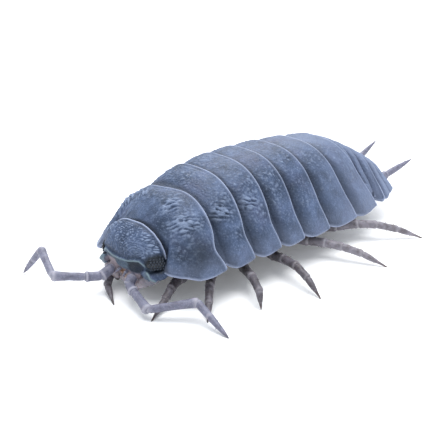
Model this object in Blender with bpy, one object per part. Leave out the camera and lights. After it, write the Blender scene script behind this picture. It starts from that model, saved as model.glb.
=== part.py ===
"""A life-size woodlouse, standing, as a still model.

Lengths are in millimetres up to the last step of each part, which turns its mesh
into metres. The head points towards -Y, the animal's left side is +X and the
floor is z = 0. Along the body, y = 0 is the seam between the head and the first
segment of the trunk.
"""

import math

import bpy
import bmesh
from mathutils import Matrix, Vector

MM = 0.001
COLLECTION_NAME = "woodlouse"

# Middle of the whole model's footprint, which becomes the origin
FOOTPRINT_X = 0.25
FOOTPRINT_Y = 6.90

# Seams between the plates of the body, and between a limb and what carries it
SEAM = 0.16
LIMB_SEAM = 0.12

# The height of the flat underside that carries the legs, and its half width
BELLY_Z = 1.0
BELLY_HALF_WIDTH = 2.1
BELLY_SHARE = 0.6

# Each trunk segment's rear edge: y on the ridge, half width, height of the
# ridge, height of the side edge, and how far the rear corner lies behind
TRUNK = (
    (1.92, 3.42, 4.25, 1.25, 0.12),
    (3.40, 3.52, 4.63, 1.30, 0.12),
    (4.87, 3.56, 4.80, 1.34, 0.18),
    (6.22, 3.57, 4.82, 1.32, 0.28),
    (7.72, 3.54, 4.77, 1.25, 0.48),
    (9.36, 3.42, 4.63, 1.17, 0.88),
    (10.90, 3.13, 4.44, 1.16, 1.18),
)

# How far the rear edge of each trunk segment bends forward low on the flank, where
# across the half width that bend is deepest, and how wide it is
FLANK_BENDS = (0.27, 0.16, 0.14, 0.10, 0.07, 0.04, 0.0)
FLANK_BEND_AT = 0.88
FLANK_BEND_WIDTH = 0.085

# The same five sizes for the five short segments behind the trunk
ABDOMEN = (
    (11.50, 2.42, 4.20, 1.62, 0.52),
    (12.10, 2.46, 3.90, 1.56, 0.42),
    (12.70, 2.88, 3.56, 1.20, 0.30),
    (13.30, 2.66, 3.20, 1.20, 0.36),
    (13.90, 2.28, 2.82, 1.20, 0.52),
)

# The front edge of the first trunk segment, how far its corners reach ahead, and
# how that segment swells behind it
COLLAR = (0.0, 2.05, 3.16, 1.42, 0.0)
COLLAR_CORNER = 0.40
COLLAR_CORNER_FROM = 0.84
COLLAR_SWELL = 0.20
COLLAR_SIDE_SWELL = 0.10
COLLAR_SIDE_DIP = 0.11
COLLAR_SIDE_SKEW = 0.6
COLLAR_ROUNDNESS = 0.6
COLLAR_FULL_AT = 0.75

# Shape of a plate: how far its front is sunk under the plate ahead of it, its
# swelling between the seams, the rounding of its front corner and the dip of
# the arch above the flared side edge
PLATE_STEP = 0.15
PLATE_SWELL = 0.05
PLATE_SIDE_SWELL = 0.15
PLATE_SIDE_DIP = 0.07
PLATE_SIDE_SKEW = 0.6
CORNER_ROUNDING = 0.14
CORNER_LIFT = 0.10
CORNER_ENDS_AT = 0.3
SIDE_FLARE = 0.045
SIDE_FLARE_FROM = 0.6
EDGE_HEIGHT = 0.12

# Where a plate is sampled: across its back from side to ridge, along its length,
# and on its two end faces from the rim inwards
DORSAL_SAMPLES = (1.0, 0.93, 0.84, 0.72, 0.57, 0.39, 0.20)
PLATE_STATIONS = (0.0, 0.10, 0.26, 0.50, 0.76, 0.94, 1.0)
CAP_SHARES = (0.78, 0.52, 0.26)
CAP_CENTRE_RAISE = 0.15

# The hollow under a side plate: share of the way out from the belly, and height
# above the plate's edge
UNDERSIDE = ((0.20, 0.32), (0.50, 0.42), (0.76, 0.20))
EDGE_INSET = 0.978

# The head is turned a little to its left, and with it the first seam: the turn
# has died out this far behind the seam
HEAD_TURN = math.radians(7.0)
HEAD_TURN_END = 0.6
COLLAR_RIGHT_TURN = 0.2
HEAD_BACK = -SEAM
HEAD_SQUARENESS = 0.8
HEAD_FRONT_STEPS = 18
HEAD_BACK_STEPS = 6

# Cuts through the head from its crown down: height, half width, reach forward
HEAD_CUTS = (
    (3.08, 0.45, 0.10),
    (3.00, 0.76, 0.26),
    (2.82, 1.12, 0.46),
    (2.52, 1.46, 0.66),
    (2.20, 1.66, 0.78),
    (1.90, 1.74, 0.84),
    (1.68, 1.74, 0.86),
    (1.56, 1.72, 0.90),
    (1.46, 1.64, 0.80),
    (1.20, 1.50, 0.74),
    (1.00, 1.34, 0.68),
    (0.86, 1.12, 0.56),
)
LOBE_CENTRE = (1.57, -0.57, 1.17)
LOBE_RADII = (0.34, 0.35, 0.28)

# Cuts through the mouthparts, which hang below the head
MOUTH_CUTS = (
    (0.74, 1.16, 0.50),
    (0.60, 1.12, 0.58),
    (0.44, 0.90, 0.50),
    (0.30, 0.46, 0.30),
)
JAW_CENTRE = (0.40, -0.52, 0.52)
JAW_RADII = (0.36, 0.26, 0.22)
LIP_CENTRE = (0.0, -0.66, 0.58)
LIP_RADII = (0.30, 0.16, 0.15)

EYE_CENTRE = (1.60, -0.60, 1.88)
EYE_FACING = (0.84, -0.50, 0.20)
EYE_HALF_LENGTH = 0.40
EYE_HALF_HEIGHT = 0.26
EYE_BULGE = 0.14
EYE_SIDES = 14
EYE_CUTS = ((0.0, 1.0), (0.45, 0.88), (0.80, 0.60), (0.97, 0.28))

# A limb's stretch sinks this many radii into its neighbours, ends this narrow, and
# has this many sides; the last stretch is narrowest at its foot and has one more
# ring on the way: its place, and its radius as a share of both ends' radii
STRETCH_SINK = 0.55
STRETCH_END = 0.62
FEELER_SIDES = 8
LEG_SIDES = 6
CLAW_MIDDLE_AT = 0.55
CLAW_MIDDLE_SHARE = 0.46
UPRIGHT_LIMIT = 0.05

# Joints of the feelers from the head to the tip, and the thickness of each
# stretch at its two ends
ANTENNA_LEFT = (
    (0.65, -0.87, 1.03),
    (0.72, -1.15, 0.76),
    (1.27, -1.32, 0.70),
    (2.50, -1.53, 0.43),
    (3.92, -0.09, 0.78),
    (5.87, -0.15, 0.0),
)
ANTENNA_RIGHT = (
    (-0.65, -1.03, 1.03),
    (-0.59, -1.62, 0.84),
    (-0.81, -2.26, 0.94),
    (-1.35, -3.51, 1.22),
    (-3.33, -2.90, 1.54),
    (-4.73, -3.23, 0.0),
)
ANTENNA_RADII = ((0.27, 0.27), (0.25, 0.29), (0.25, 0.28), (0.25, 0.25), (0.24, 0.09))

# Legs: the y of the root, the tip's place on the floor, and the joints between,
# each as a share of the way out and a height
LEG_ROOT_X = 1.62
LEG_ROOT_Y = (1.05, 2.65, 4.10, 5.50, 6.95, 8.50, 10.00)
LEG_STUB = 0.26
LEG_STUB_TAPER = 0.12
LEG_STUB_END = 0.6
LEG_ROOT_RAISE = 0.04
LEFT_TIPS = (
    (2.76, -1.57), (4.38, 0.02), (5.08, 2.29), (6.16, 4.70),
    (6.22, 9.04), (5.41, 12.78), (1.35, 13.20),
)
LEFT_JOINTS = (
    ((0.20, 0.78), (0.40, 0.66), (0.58, 0.40)),
    ((0.30, 0.66), (0.55, 0.72), (0.78, 0.40)),
    ((0.32, 0.60), (0.66, 0.84), (0.93, 0.72)),
    ((0.26, 0.64), (0.42, 0.78), (0.62, 0.82), (0.79, 0.58)),
    ((0.26, 0.70), (0.42, 0.72), (0.58, 0.66), (0.76, 0.48)),
    ((0.26, 0.70), (0.44, 0.82), (0.60, 0.76), (0.78, 0.50)),
    ((0.24, 0.60), (0.44, 0.62), (0.64, 0.52), (0.82, 0.34)),
)
RIGHT_TIPS = (
    (0.62, -1.90), (-3.55, 1.35), (-4.75, 3.10), (-5.35, 5.55),
    (-5.75, 8.30), (-5.60, 11.60), (-4.60, 14.10),
)
RIGHT_JOINTS = (
    ((0.22, 0.60), (0.46, 0.38), (0.70, 0.35)),
    ((0.30, 0.66), (0.55, 0.72), (0.78, 0.46)),
    ((0.28, 0.64), (0.46, 0.78), (0.66, 0.74), (0.82, 0.48)),
    ((0.26, 0.64), (0.42, 0.78), (0.62, 0.80), (0.79, 0.54)),
    ((0.26, 0.68), (0.42, 0.76), (0.60, 0.72), (0.78, 0.50)),
    ((0.26, 0.70), (0.44, 0.80), (0.60, 0.74), (0.78, 0.50)),
    ((0.26, 0.70), (0.44, 0.76), (0.60, 0.70), (0.78, 0.48)),
)
FRONT_RIGHT_BOW = 0.80
LEG_RADIUS_ROOT = 0.29
LEG_RADIUS_END = 0.25
CLAW_RADIUS = 0.09

# Tail plate and tail feelers
TELSON_LENGTH = 1.85
TELSON_HALF_WIDTH = 0.98
TELSON_TOP = (2.62, 1.62)
TELSON_THICKNESS = (0.95, 0.22)
TELSON_CUTS = ((0.0, 1.0), (0.22, 0.90), (0.45, 0.58), (0.72, 0.32), (1.0, 0.09))
TELSON_CROWN = 0.25
TELSON_SHOULDER_AT = 0.55
TELSON_SHOULDER_DROP = 0.25
TELSON_LOW_SHARE = 0.86
UROPOD_ROOT = (1.34, 14.24, 1.62)
UROPOD_KNEE = (1.28, 15.00, 1.60)
UROPOD_TIP_LEFT = (1.30, 17.30, 1.98)
UROPOD_TIP_RIGHT = (-1.50, 17.70, 2.33)
UROPOD_RADIUS = 0.27
UROPOD_INNER_TIP = (0.62, 16.20, 1.22)
UROPOD_INNER_SHARE = 0.85

# Rings of a tail feeler's branch: share of its length and of its radius
UROPOD_CUTS = ((-0.07, 0.60), (0.01, 1.0), (0.45, 0.92), (0.80, 0.50), (1.0, 0.18))

# Colour, roughness
SHELL_BLUE = ((0.115, 0.135, 0.195, 1.0), 0.42)
EYE_BLACK = ((0.006, 0.006, 0.008, 1.0), 0.25)
LIMB_GREY = ((0.200, 0.170, 0.190, 1.0), 0.50)
LEG_BROWN = ((0.190, 0.130, 0.090, 1.0), 0.50)
MOUTH_BROWN = ((0.300, 0.150, 0.080, 1.0), 0.50)


def clear_scene():
    """Remove whatever the file holds."""
    for item in list(bpy.data.objects):
        bpy.data.objects.remove(item)


def make_material(name, finish):
    """A plain coloured surface."""
    colour, roughness = finish
    material = bpy.data.materials.new(name)
    material.use_nodes = True
    shader = material.node_tree.nodes["Principled BSDF"]
    shader.inputs["Base Color"].default_value = colour
    shader.inputs["Roughness"].default_value = roughness
    shader.inputs["Metallic"].default_value = 0.0
    return material


def turn_head(point):
    """Swing a point of the head to the animal's left."""
    x, y, z = point
    return Vector((x, y + math.tan(HEAD_TURN) * x, z))


def turn_collar(point):
    """Swing the trunk's front edge after the head, less on the right side."""
    x, y, z = point
    share = min(1.0, max(0.0, (HEAD_TURN_END - y) / HEAD_TURN_END))
    if x < 0.0:
        share *= COLLAR_RIGHT_TURN
    return Vector((x, y + math.tan(HEAD_TURN) * share * x, z))


def turned(mesh, turn):
    """The same mesh with every point swung."""
    for vert in mesh.vertices:
        vert.co = turn(vert.co)
    return mesh


def finish_part(name, mesh, root, material, collection):
    """Give a mesh in millimetres its root, its place in metres and its finish."""
    root = Vector(root)
    mesh.transform(Matrix.Translation(-root))
    mesh.transform(Matrix.Scale(MM, 4))
    mesh.name = name
    mesh.materials.clear()
    mesh.materials.append(material)
    mesh.shade_smooth()
    mesh.set_sharp_from_angle(angle=math.radians(40.0))
    part = bpy.data.objects.new(name, mesh)
    part.location = (root - Vector((FOOTPRINT_X, FOOTPRINT_Y, 0.0))) * MM
    collection.objects.link(part)
    return part


def mesh_from(bm, name):
    """Close a bmesh into a mesh whose faces are triangles that point out."""
    bmesh.ops.triangulate(bm, faces=bm.faces)
    bmesh.ops.recalc_face_normals(bm, faces=bm.faces)
    mesh = bpy.data.meshes.new(name)
    bm.to_mesh(mesh)
    bm.free()
    return mesh


def loft(rings, name, start_centre=None, end_centre=None):
    """Skin closed rings of equal count, with a fan on each end."""
    bm = bmesh.new()
    loops = [[bm.verts.new(point) for point in ring] for ring in rings]
    count = len(loops[0])
    for lower, upper in zip(loops, loops[1:]):
        for i in range(count):
            j = (i + 1) % count
            bm.faces.new((lower[i], lower[j], upper[j], upper[i]))
    ends = ((loops[0], start_centre, rings[0]), (loops[-1], end_centre, rings[-1]))
    for loop, centre, ring in ends:
        middle = Vector(centre) if centre else sum(ring, Vector()) / count
        hub = bm.verts.new(middle)
        for i in range(count):
            bm.faces.new((loop[i], loop[(i + 1) % count], hub))
    return mesh_from(bm, name)


def ellipsoid(name, centre, radii, rounds=12, layers=8):
    """A closed rounded lump."""
    bm = bmesh.new()
    bmesh.ops.create_uvsphere(bm, u_segments=rounds, v_segments=layers, radius=1.0)
    bmesh.ops.scale(bm, vec=radii, verts=bm.verts)
    bmesh.ops.translate(bm, vec=centre, verts=bm.verts)
    return mesh_from(bm, name)


def keep_largest_shell(mesh):
    """Drop every closed surface of a mesh but the largest."""
    bm = bmesh.new()
    bm.from_mesh(mesh)
    waiting = set(bm.verts)
    shells = []
    while waiting:
        shell = set()
        front = [waiting.pop()]
        while front:
            vert = front.pop()
            shell.add(vert)
            for edge in vert.link_edges:
                other = edge.other_vert(vert)
                if other in waiting:
                    waiting.discard(other)
                    front.append(other)
        shells.append(shell)
    shells.sort(key=len, reverse=True)
    for shell in shells[1:]:
        bmesh.ops.delete(bm, geom=list(shell), context="VERTS")
    bmesh.ops.triangulate(bm, faces=bm.faces)
    bm.to_mesh(mesh)
    bm.free()
    return mesh


def fuse(name, meshes):
    """Join closed meshes into one closed surface with a single union."""
    scene = bpy.context.scene.collection
    pieces = bpy.data.collections.new(name + "_pieces")
    scene.children.link(pieces)
    base = bpy.data.objects.new(name + "_base", meshes[0])
    scene.objects.link(base)
    for mesh in meshes[1:]:
        pieces.objects.link(bpy.data.objects.new(mesh.name, mesh))
    union = base.modifiers.new("union", "BOOLEAN")
    union.operation = "UNION"
    union.operand_type = "COLLECTION"
    union.collection = pieces
    union.solver = "EXACT"
    graph = bpy.context.evaluated_depsgraph_get()
    joined = bpy.data.meshes.new_from_object(base.evaluated_get(graph))
    for item in list(pieces.objects):
        bpy.data.objects.remove(item)
    bpy.data.objects.remove(base)
    bpy.data.collections.remove(pieces)
    return keep_largest_shell(joined)


def arch(t):
    """Height of a plate's arch, 1 on the ridge and 0 at the side edge."""
    flare = max(0.0, (t - SIDE_FLARE_FROM) / (1.0 - SIDE_FLARE_FROM))
    return 1.0 - t ** 3 - SIDE_FLARE * math.sin(math.pi * flare) ** 2


def back_sweep(x, width, corner, bend):
    """How far a seam has swept back at a distance x from the midline."""
    share = abs(x) / width
    dent = math.exp(-((share - FLANK_BEND_AT) / FLANK_BEND_WIDTH) ** 2)
    return corner * share ** 3 - bend * dent


def collar_sweep(x, width):
    """The first segment's front edge: straight, with corners that reach ahead."""
    share = (abs(x) / width - COLLAR_CORNER_FROM) / (1.0 - COLLAR_CORNER_FROM)
    return -COLLAR_CORNER * min(1.0, max(0.0, share))


def section(width, ridge, margin):
    """One cut across the body as (x, z) pairs, over the back and round below."""
    top = margin + EDGE_HEIGHT
    rise = ridge - top
    left = [(width * t, top + rise * arch(t)) for t in DORSAL_SAMPLES]
    belly = min(BELLY_HALF_WIDTH, BELLY_SHARE * width)
    under = [(belly * 0.5, BELLY_Z), (belly, BELLY_Z)]
    for share, height in UNDERSIDE:
        under.append((belly + share * (width - belly), margin + height))
    under.append((EDGE_INSET * width, margin))
    right = [(-x, z) for x, z in reversed(left)]
    below = [(-x, z) for x, z in reversed(under)]
    return left + [(0.0, ridge)] + right + below + [(0.0, BELLY_Z)] + under


def ring_at(y, width, ridge, margin, sweep):
    """A cut placed along the body, swept back towards its sides."""
    return [Vector((x, y + sweep(x), z)) for x, z in section(width, ridge, margin)]


def cap_rings(ring, y, sweep, centre_z):
    """Smaller copies of an end ring, so that its face follows the sweep."""
    inner = []
    for share in CAP_SHARES:
        points = []
        for point in ring:
            x = point.x * share
            z = centre_z + (point.z - centre_z) * share
            points.append(Vector((x, y + sweep(x), z)))
        inner.append(points)
    return inner


def body_segment(name, front, rear, front_sweep, rear_sweep, first=False):
    """One closed slice of the body between two seams."""
    front_y, front_width, front_ridge, front_margin, _ = front
    rear_y, rear_width, rear_ridge, rear_margin, _ = rear
    centre_z = 0.5 * (BELLY_Z + min(front_ridge, rear_ridge)) + CAP_CENTRE_RAISE
    step = 0.0 if first else PLATE_STEP
    start_y = front_y + (0.0 if first else SEAM)
    rings = []
    for share in PLATE_STATIONS:
        early = max(0.0, 1.0 - share / CORNER_ENDS_AT)
        bulge = math.sin(math.pi * share)
        swell = (COLLAR_SWELL if first else PLATE_SWELL) * bulge
        margin = front_margin + (rear_margin - front_margin) * share
        if first:
            margin -= COLLAR_SIDE_DIP * math.sin(math.pi * share ** COLLAR_SIDE_SKEW)
            grown = math.sin(0.5 * math.pi * min(1.0, share / COLLAR_FULL_AT))
            width = front_width + (rear_width - front_width) * grown ** COLLAR_ROUNDNESS
            width += COLLAR_SIDE_SWELL * bulge
        else:
            width = front_width - step + (rear_width - front_width + step) * share
            side_bulge = math.sin(math.pi * share ** PLATE_SIDE_SKEW)
            width += PLATE_SIDE_SWELL * side_bulge - CORNER_ROUNDING * early ** 2
            margin += CORNER_LIFT * early ** 2 - PLATE_SIDE_DIP * side_bulge
        ridge = front_ridge - step + (rear_ridge - front_ridge + step) * share + swell
        y = start_y + (rear_y - start_y) * share

        def sweep(x, share=share):
            return (1.0 - share) * front_sweep(x) + share * rear_sweep(x)

        rings.append(ring_at(y, width, ridge, margin, sweep))
    front_caps = cap_rings(rings[0], start_y, front_sweep, centre_z)
    rear_caps = cap_rings(rings[-1], rear_y, rear_sweep, centre_z)
    rings = list(reversed(front_caps)) + rings + rear_caps
    mesh = loft(rings, name, (0.0, start_y, centre_z), (0.0, rear_y, centre_z))
    return turned(mesh, turn_collar) if first else mesh


def seam_sweep(edge, bend=0.0):
    """The sweep of the seam behind a row of the two tables."""
    _, width, _, _, corner = edge
    return lambda x: back_sweep(x, width, corner, bend)


def build_trunk(material, collection):
    """The seven large segments that carry the legs."""
    front, front_sweep = COLLAR, lambda x: collar_sweep(x, COLLAR[1])
    for number, rear in enumerate(TRUNK, start=1):
        name = "pereonite_%d" % number
        rear_sweep = seam_sweep(rear, FLANK_BENDS[number - 1])
        mesh = body_segment(name, front, rear, front_sweep, rear_sweep, number == 1)
        finish_part(name, mesh, (0.0, front[0], BELLY_Z), material, collection)
        front, front_sweep = rear, rear_sweep


def build_abdomen(material, collection):
    """The five short segments behind the trunk."""
    front, front_sweep = TRUNK[-1], seam_sweep(TRUNK[-1], FLANK_BENDS[-1])
    for number, rear in enumerate(ABDOMEN, start=1):
        name = "pleonite_%d" % number
        rear_sweep = seam_sweep(rear)
        narrow = (front[0], min(front[1], rear[1] + PLATE_STEP), front[2], rear[3], front[4])
        mesh = body_segment(name, narrow, rear, front_sweep, rear_sweep)
        finish_part(name, mesh, (0.0, front[0], BELLY_Z), material, collection)
        front, front_sweep = rear, rear_sweep


def build_telson(material, collection):
    """The pointed tail plate."""
    start = ABDOMEN[-1][0] + SEAM
    rings = []
    for share, spread in TELSON_CUTS:
        half = TELSON_HALF_WIDTH * spread
        top = TELSON_TOP[0] + (TELSON_TOP[1] - TELSON_TOP[0]) * share
        low = top - TELSON_THICKNESS[0] + (
            TELSON_THICKNESS[0] - TELSON_THICKNESS[1]) * share
        crown = TELSON_CROWN * (1.0 - share)
        shoulder = top - TELSON_SHOULDER_DROP * crown
        y = start + TELSON_LENGTH * share
        rings.append([
            Vector((half, y, top - crown)),
            Vector((TELSON_SHOULDER_AT * half, y, shoulder)),
            Vector((0.0, y, top)),
            Vector((-TELSON_SHOULDER_AT * half, y, shoulder)),
            Vector((-half, y, top - crown)),
            Vector((-TELSON_LOW_SHARE * half, y, low)),
            Vector((0.0, y, low)),
            Vector((TELSON_LOW_SHARE * half, y, low)),
        ])
    mesh = loft(rings, "telson")
    finish_part("telson", mesh, (0.0, start, BELLY_Z), material, collection)


def half_round_cut(z, half_width, reach, back):
    """A level cut with a flat back and a rounded front."""
    points = []
    steps = HEAD_FRONT_STEPS
    for i in range(steps + 1):
        angle = math.pi * i / steps
        side = math.copysign(abs(math.cos(angle)) ** HEAD_SQUARENESS, math.cos(angle))
        ahead = math.sin(angle) ** HEAD_SQUARENESS if 0 < i < steps else 0.0
        points.append(Vector((half_width * side, back - reach * ahead, z)))
    for i in range(1, HEAD_BACK_STEPS):
        share = 2.0 * i / HEAD_BACK_STEPS - 1.0
        points.append(Vector((half_width * share, back, z)))
    return points


def build_head(material, collection):
    """The head capsule with its two side lobes."""
    rings = [half_round_cut(z, w, reach, HEAD_BACK) for z, w, reach in HEAD_CUTS]
    pieces = [loft(rings, "head_capsule")]
    for side in (1, -1):
        centre = (side * LOBE_CENTRE[0], LOBE_CENTRE[1], LOBE_CENTRE[2])
        pieces.append(ellipsoid("lobe", centre, LOBE_RADII))
    mesh = turned(fuse("head", pieces), turn_head)
    finish_part("head", mesh, (0.0, HEAD_BACK, HEAD_CUTS[5][0]), material, collection)


def build_mouthparts(material, collection):
    """The jaws and lip under the head."""
    rings = [half_round_cut(z, w, reach, HEAD_BACK) for z, w, reach in MOUTH_CUTS]
    pieces = [loft(rings, "mouth_base"), ellipsoid("lip", LIP_CENTRE, LIP_RADII)]
    for side in (1, -1):
        centre = (side * JAW_CENTRE[0], JAW_CENTRE[1], JAW_CENTRE[2])
        pieces.append(ellipsoid("jaw", centre, JAW_RADII))
    mesh = turned(fuse("mouthparts", pieces), turn_head)
    root = (0.0, HEAD_BACK, MOUTH_CUTS[0][0])
    finish_part("mouthparts", mesh, root, material, collection)


def build_eye(name, side, material, collection):
    """A low lens-shaped eye, flat on the side that faces the head."""
    out = Vector((side * EYE_FACING[0], EYE_FACING[1], EYE_FACING[2])).normalized()
    along = out.cross(Vector((0.0, 0.0, 1.0))).normalized()
    up = along.cross(out).normalized()
    centre = Vector((side * EYE_CENTRE[0], EYE_CENTRE[1], EYE_CENTRE[2]))
    rings = []
    for height, size in EYE_CUTS:
        ring = []
        for i in range(EYE_SIDES):
            angle = 2.0 * math.pi * i / EYE_SIDES
            spot = centre + out * (EYE_BULGE * height)
            spot += along * (EYE_HALF_LENGTH * size * math.cos(angle))
            spot += up * (EYE_HALF_HEIGHT * size * math.sin(angle))
            ring.append(spot)
        rings.append(ring)
    mesh = turned(loft(rings, name), turn_head)
    finish_part(name, mesh, turn_head(centre), material, collection)


def round_ring(centre, axis, radius, sides):
    """A circle of points square to an axis."""
    axis = Vector(axis).normalized()
    across = axis.cross(Vector((0.0, 0.0, 1.0)))
    if across.length < UPRIGHT_LIMIT:
        across = Vector((1.0, 0.0, 0.0))
    across.normalize()
    over = across.cross(axis).normalized()
    ring = []
    for i in range(sides):
        angle = 2.0 * math.pi * (i + 0.5) / sides
        ring.append(centre + across * (radius * math.cos(angle)) + over * (radius * math.sin(angle)))
    return ring


def article(name, start, end, start_radius, end_radius, sides):
    """One stretch of a limb, with rounded ends that sink into its neighbours."""
    start, end = Vector(start), Vector(end)
    axis = (end - start).normalized()
    rings = [
        round_ring(start - axis * (STRETCH_SINK * start_radius), axis, STRETCH_END * start_radius, sides),
        round_ring(start, axis, start_radius, sides),
        round_ring(end, axis, end_radius, sides),
        round_ring(end + axis * (STRETCH_SINK * end_radius), axis, STRETCH_END * end_radius, sides),
    ]
    return loft(rings, name)


def tip_article(name, start, end, start_radius, tip_radius, sides):
    """The last stretch of a limb, ending in a small level flat."""
    start, end = Vector(start), Vector(end)
    axis = (end - start).normalized()
    middle = start.lerp(end, CLAW_MIDDLE_AT)
    middle_radius = CLAW_MIDDLE_SHARE * (start_radius + tip_radius)
    across = Vector((axis.y, -axis.x, 0.0))
    if across.length < UPRIGHT_LIMIT:
        across = Vector((1.0, 0.0, 0.0))
    across.normalize()
    ahead = Vector((across.y, -across.x, 0.0))
    foot = []
    for i in range(sides):
        angle = 2.0 * math.pi * (i + 0.5) / sides
        foot.append(end + across * (tip_radius * math.cos(angle)) - ahead * (tip_radius * math.sin(angle)))
    rings = [
        round_ring(start - axis * (STRETCH_SINK * start_radius), axis, STRETCH_END * start_radius, sides),
        round_ring(start, axis, start_radius, sides),
        round_ring(middle, axis, middle_radius, sides),
        foot,
    ]
    return loft(rings, name)


def build_antenna(name, joints, material, collection):
    """A feeler of four stretches and a whip, its tip on the floor."""
    joints = [Vector(joint) for joint in joints]
    pieces = []
    for i, (near, far) in enumerate(ANTENNA_RADII[:-1]):
        pieces.append(article("stretch", joints[i], joints[i + 1], near, far, FEELER_SIDES))
    near, far = ANTENNA_RADII[-1]
    pieces.append(tip_article("whip", joints[-2], joints[-1], near, far, FEELER_SIDES))
    mesh = fuse(name, pieces)
    finish_part(name, mesh, joints[0], material, collection)


def leg_stub(root):
    """The short upright piece whose flat top faces the belly."""
    top = Vector((root.x, root.y, BELLY_Z - LIMB_SEAM))
    down = Vector((0.0, 0.0, -1.0))
    rings = []
    for depth, radius in ((0.0, LEG_RADIUS_ROOT), (LEG_STUB, LEG_RADIUS_ROOT),
                          (LEG_STUB + LEG_STUB_TAPER, LEG_STUB_END * LEG_RADIUS_ROOT)):
        rings.append(round_ring(top + down * depth, down, radius, FEELER_SIDES))
    return loft(rings, "stub")


def build_leg(name, side, root_y, tip, middle_joints, bow, material, collection):
    """A walking leg from the belly out to its claw on the floor."""
    root_z = BELLY_Z - LIMB_SEAM - LEG_STUB + LEG_ROOT_RAISE
    root = Vector((side * LEG_ROOT_X, root_y, root_z))
    tip = Vector((tip[0], tip[1], 0.0))
    reach = tip - root
    aside = Vector((reach.y, -reach.x, 0.0)).normalized() * bow
    joints = [root]
    for share, height in middle_joints:
        joint = root + reach * share + aside * math.sin(math.pi * share)
        joint.z = height
        joints.append(joint)
    pieces = [leg_stub(root)]
    last = len(joints) - 1
    for i in range(last):
        near = LEG_RADIUS_ROOT + (LEG_RADIUS_END - LEG_RADIUS_ROOT) * i / last
        far = LEG_RADIUS_ROOT + (LEG_RADIUS_END - LEG_RADIUS_ROOT) * (i + 1) / last
        pieces.append(article("stretch", joints[i], joints[i + 1], near, far, LEG_SIDES))
    pieces.append(tip_article("claw", joints[-1], tip, LEG_RADIUS_END, CLAW_RADIUS, LEG_SIDES))
    mesh = fuse(name, pieces)
    finish_part(name, mesh, root, material, collection)


def build_legs(material, collection):
    """Seven pairs of legs."""
    for i, root_y in enumerate(LEG_ROOT_Y):
        name = "leg_%d_left" % (i + 1)
        build_leg(name, 1, root_y, LEFT_TIPS[i], LEFT_JOINTS[i], 0.0, material, collection)
        name = "leg_%d_right" % (i + 1)
        bow = FRONT_RIGHT_BOW if i == 0 else 0.0
        build_leg(name, -1, root_y, RIGHT_TIPS[i], RIGHT_JOINTS[i], bow, material, collection)


def build_uropod(name, side, tip, material, collection):
    """A tail feeler: a short stalk, a spear-shaped outer branch and a thin inner one."""
    root = Vector((side * UROPOD_ROOT[0], UROPOD_ROOT[1], UROPOD_ROOT[2]))
    knee = Vector((side * UROPOD_KNEE[0], UROPOD_KNEE[1], UROPOD_KNEE[2]))
    inner = Vector((side * UROPOD_INNER_TIP[0], UROPOD_INNER_TIP[1], UROPOD_INNER_TIP[2]))
    tip = Vector(tip)
    pieces = [article("stalk", root, knee, UROPOD_RADIUS, UROPOD_RADIUS, FEELER_SIDES)]
    for end, size in ((tip, UROPOD_RADIUS), (inner, UROPOD_INNER_SHARE * UROPOD_RADIUS)):
        axis = (end - knee).normalized()
        rings = []
        for share, spread in UROPOD_CUTS:
            centre = knee + (end - knee) * share
            rings.append(round_ring(centre, axis, spread * size, FEELER_SIDES))
        pieces.append(loft(rings, "branch"))
    mesh = fuse(name, pieces)
    finish_part(name, mesh, root, material, collection)


def build_woodlouse():
    """Every part, in its own named object."""
    clear_scene()
    collection = bpy.data.collections.new(COLLECTION_NAME)
    bpy.context.scene.collection.children.link(collection)
    shell = make_material("shell_blue_grey", SHELL_BLUE)
    eye = make_material("eye_black", EYE_BLACK)
    limb = make_material("feeler_grey", LIMB_GREY)
    leg = make_material("leg_brown", LEG_BROWN)
    mouth = make_material("mouth_brown", MOUTH_BROWN)
    build_head(shell, collection)
    build_mouthparts(mouth, collection)
    build_eye("eye_left", 1, eye, collection)
    build_eye("eye_right", -1, eye, collection)
    build_trunk(shell, collection)
    build_abdomen(shell, collection)
    build_telson(shell, collection)
    build_uropod("uropod_left", 1, UROPOD_TIP_LEFT, limb, collection)
    build_uropod("uropod_right", -1, UROPOD_TIP_RIGHT, limb, collection)
    build_antenna("antenna_left", ANTENNA_LEFT, limb, collection)
    build_antenna("antenna_right", ANTENNA_RIGHT, limb, collection)
    build_legs(leg, collection)


build_woodlouse()
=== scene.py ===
"""The look of the standing woodlouse: detailed pieces, finishes, floor, light and camera.

Shapes are worked out in millimetres in the same frame as the part's source, with the
head towards -Y, the animal's left at +X and the floor at z = 0, and are turned into
metres in the row's frame when a piece is made.
"""

import math

import bpy
import numpy as np
from mathutils import Matrix, Vector


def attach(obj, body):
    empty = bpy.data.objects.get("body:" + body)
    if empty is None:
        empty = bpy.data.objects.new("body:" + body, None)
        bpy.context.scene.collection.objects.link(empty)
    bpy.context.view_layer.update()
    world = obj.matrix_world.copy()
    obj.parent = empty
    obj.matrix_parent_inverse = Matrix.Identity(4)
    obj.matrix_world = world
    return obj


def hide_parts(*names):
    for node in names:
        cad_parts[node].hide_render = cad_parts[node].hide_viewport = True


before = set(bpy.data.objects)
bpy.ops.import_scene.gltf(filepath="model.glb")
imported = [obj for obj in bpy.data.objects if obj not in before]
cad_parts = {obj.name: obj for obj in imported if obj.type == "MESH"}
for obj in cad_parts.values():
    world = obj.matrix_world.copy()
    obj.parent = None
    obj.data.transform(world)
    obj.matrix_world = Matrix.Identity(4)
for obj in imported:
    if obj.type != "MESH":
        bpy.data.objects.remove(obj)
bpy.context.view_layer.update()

MM = 0.001
SHIFT = np.array((0.25, 6.90, 0.0))
SEAM = 0.16
FAR = 9.0

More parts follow.
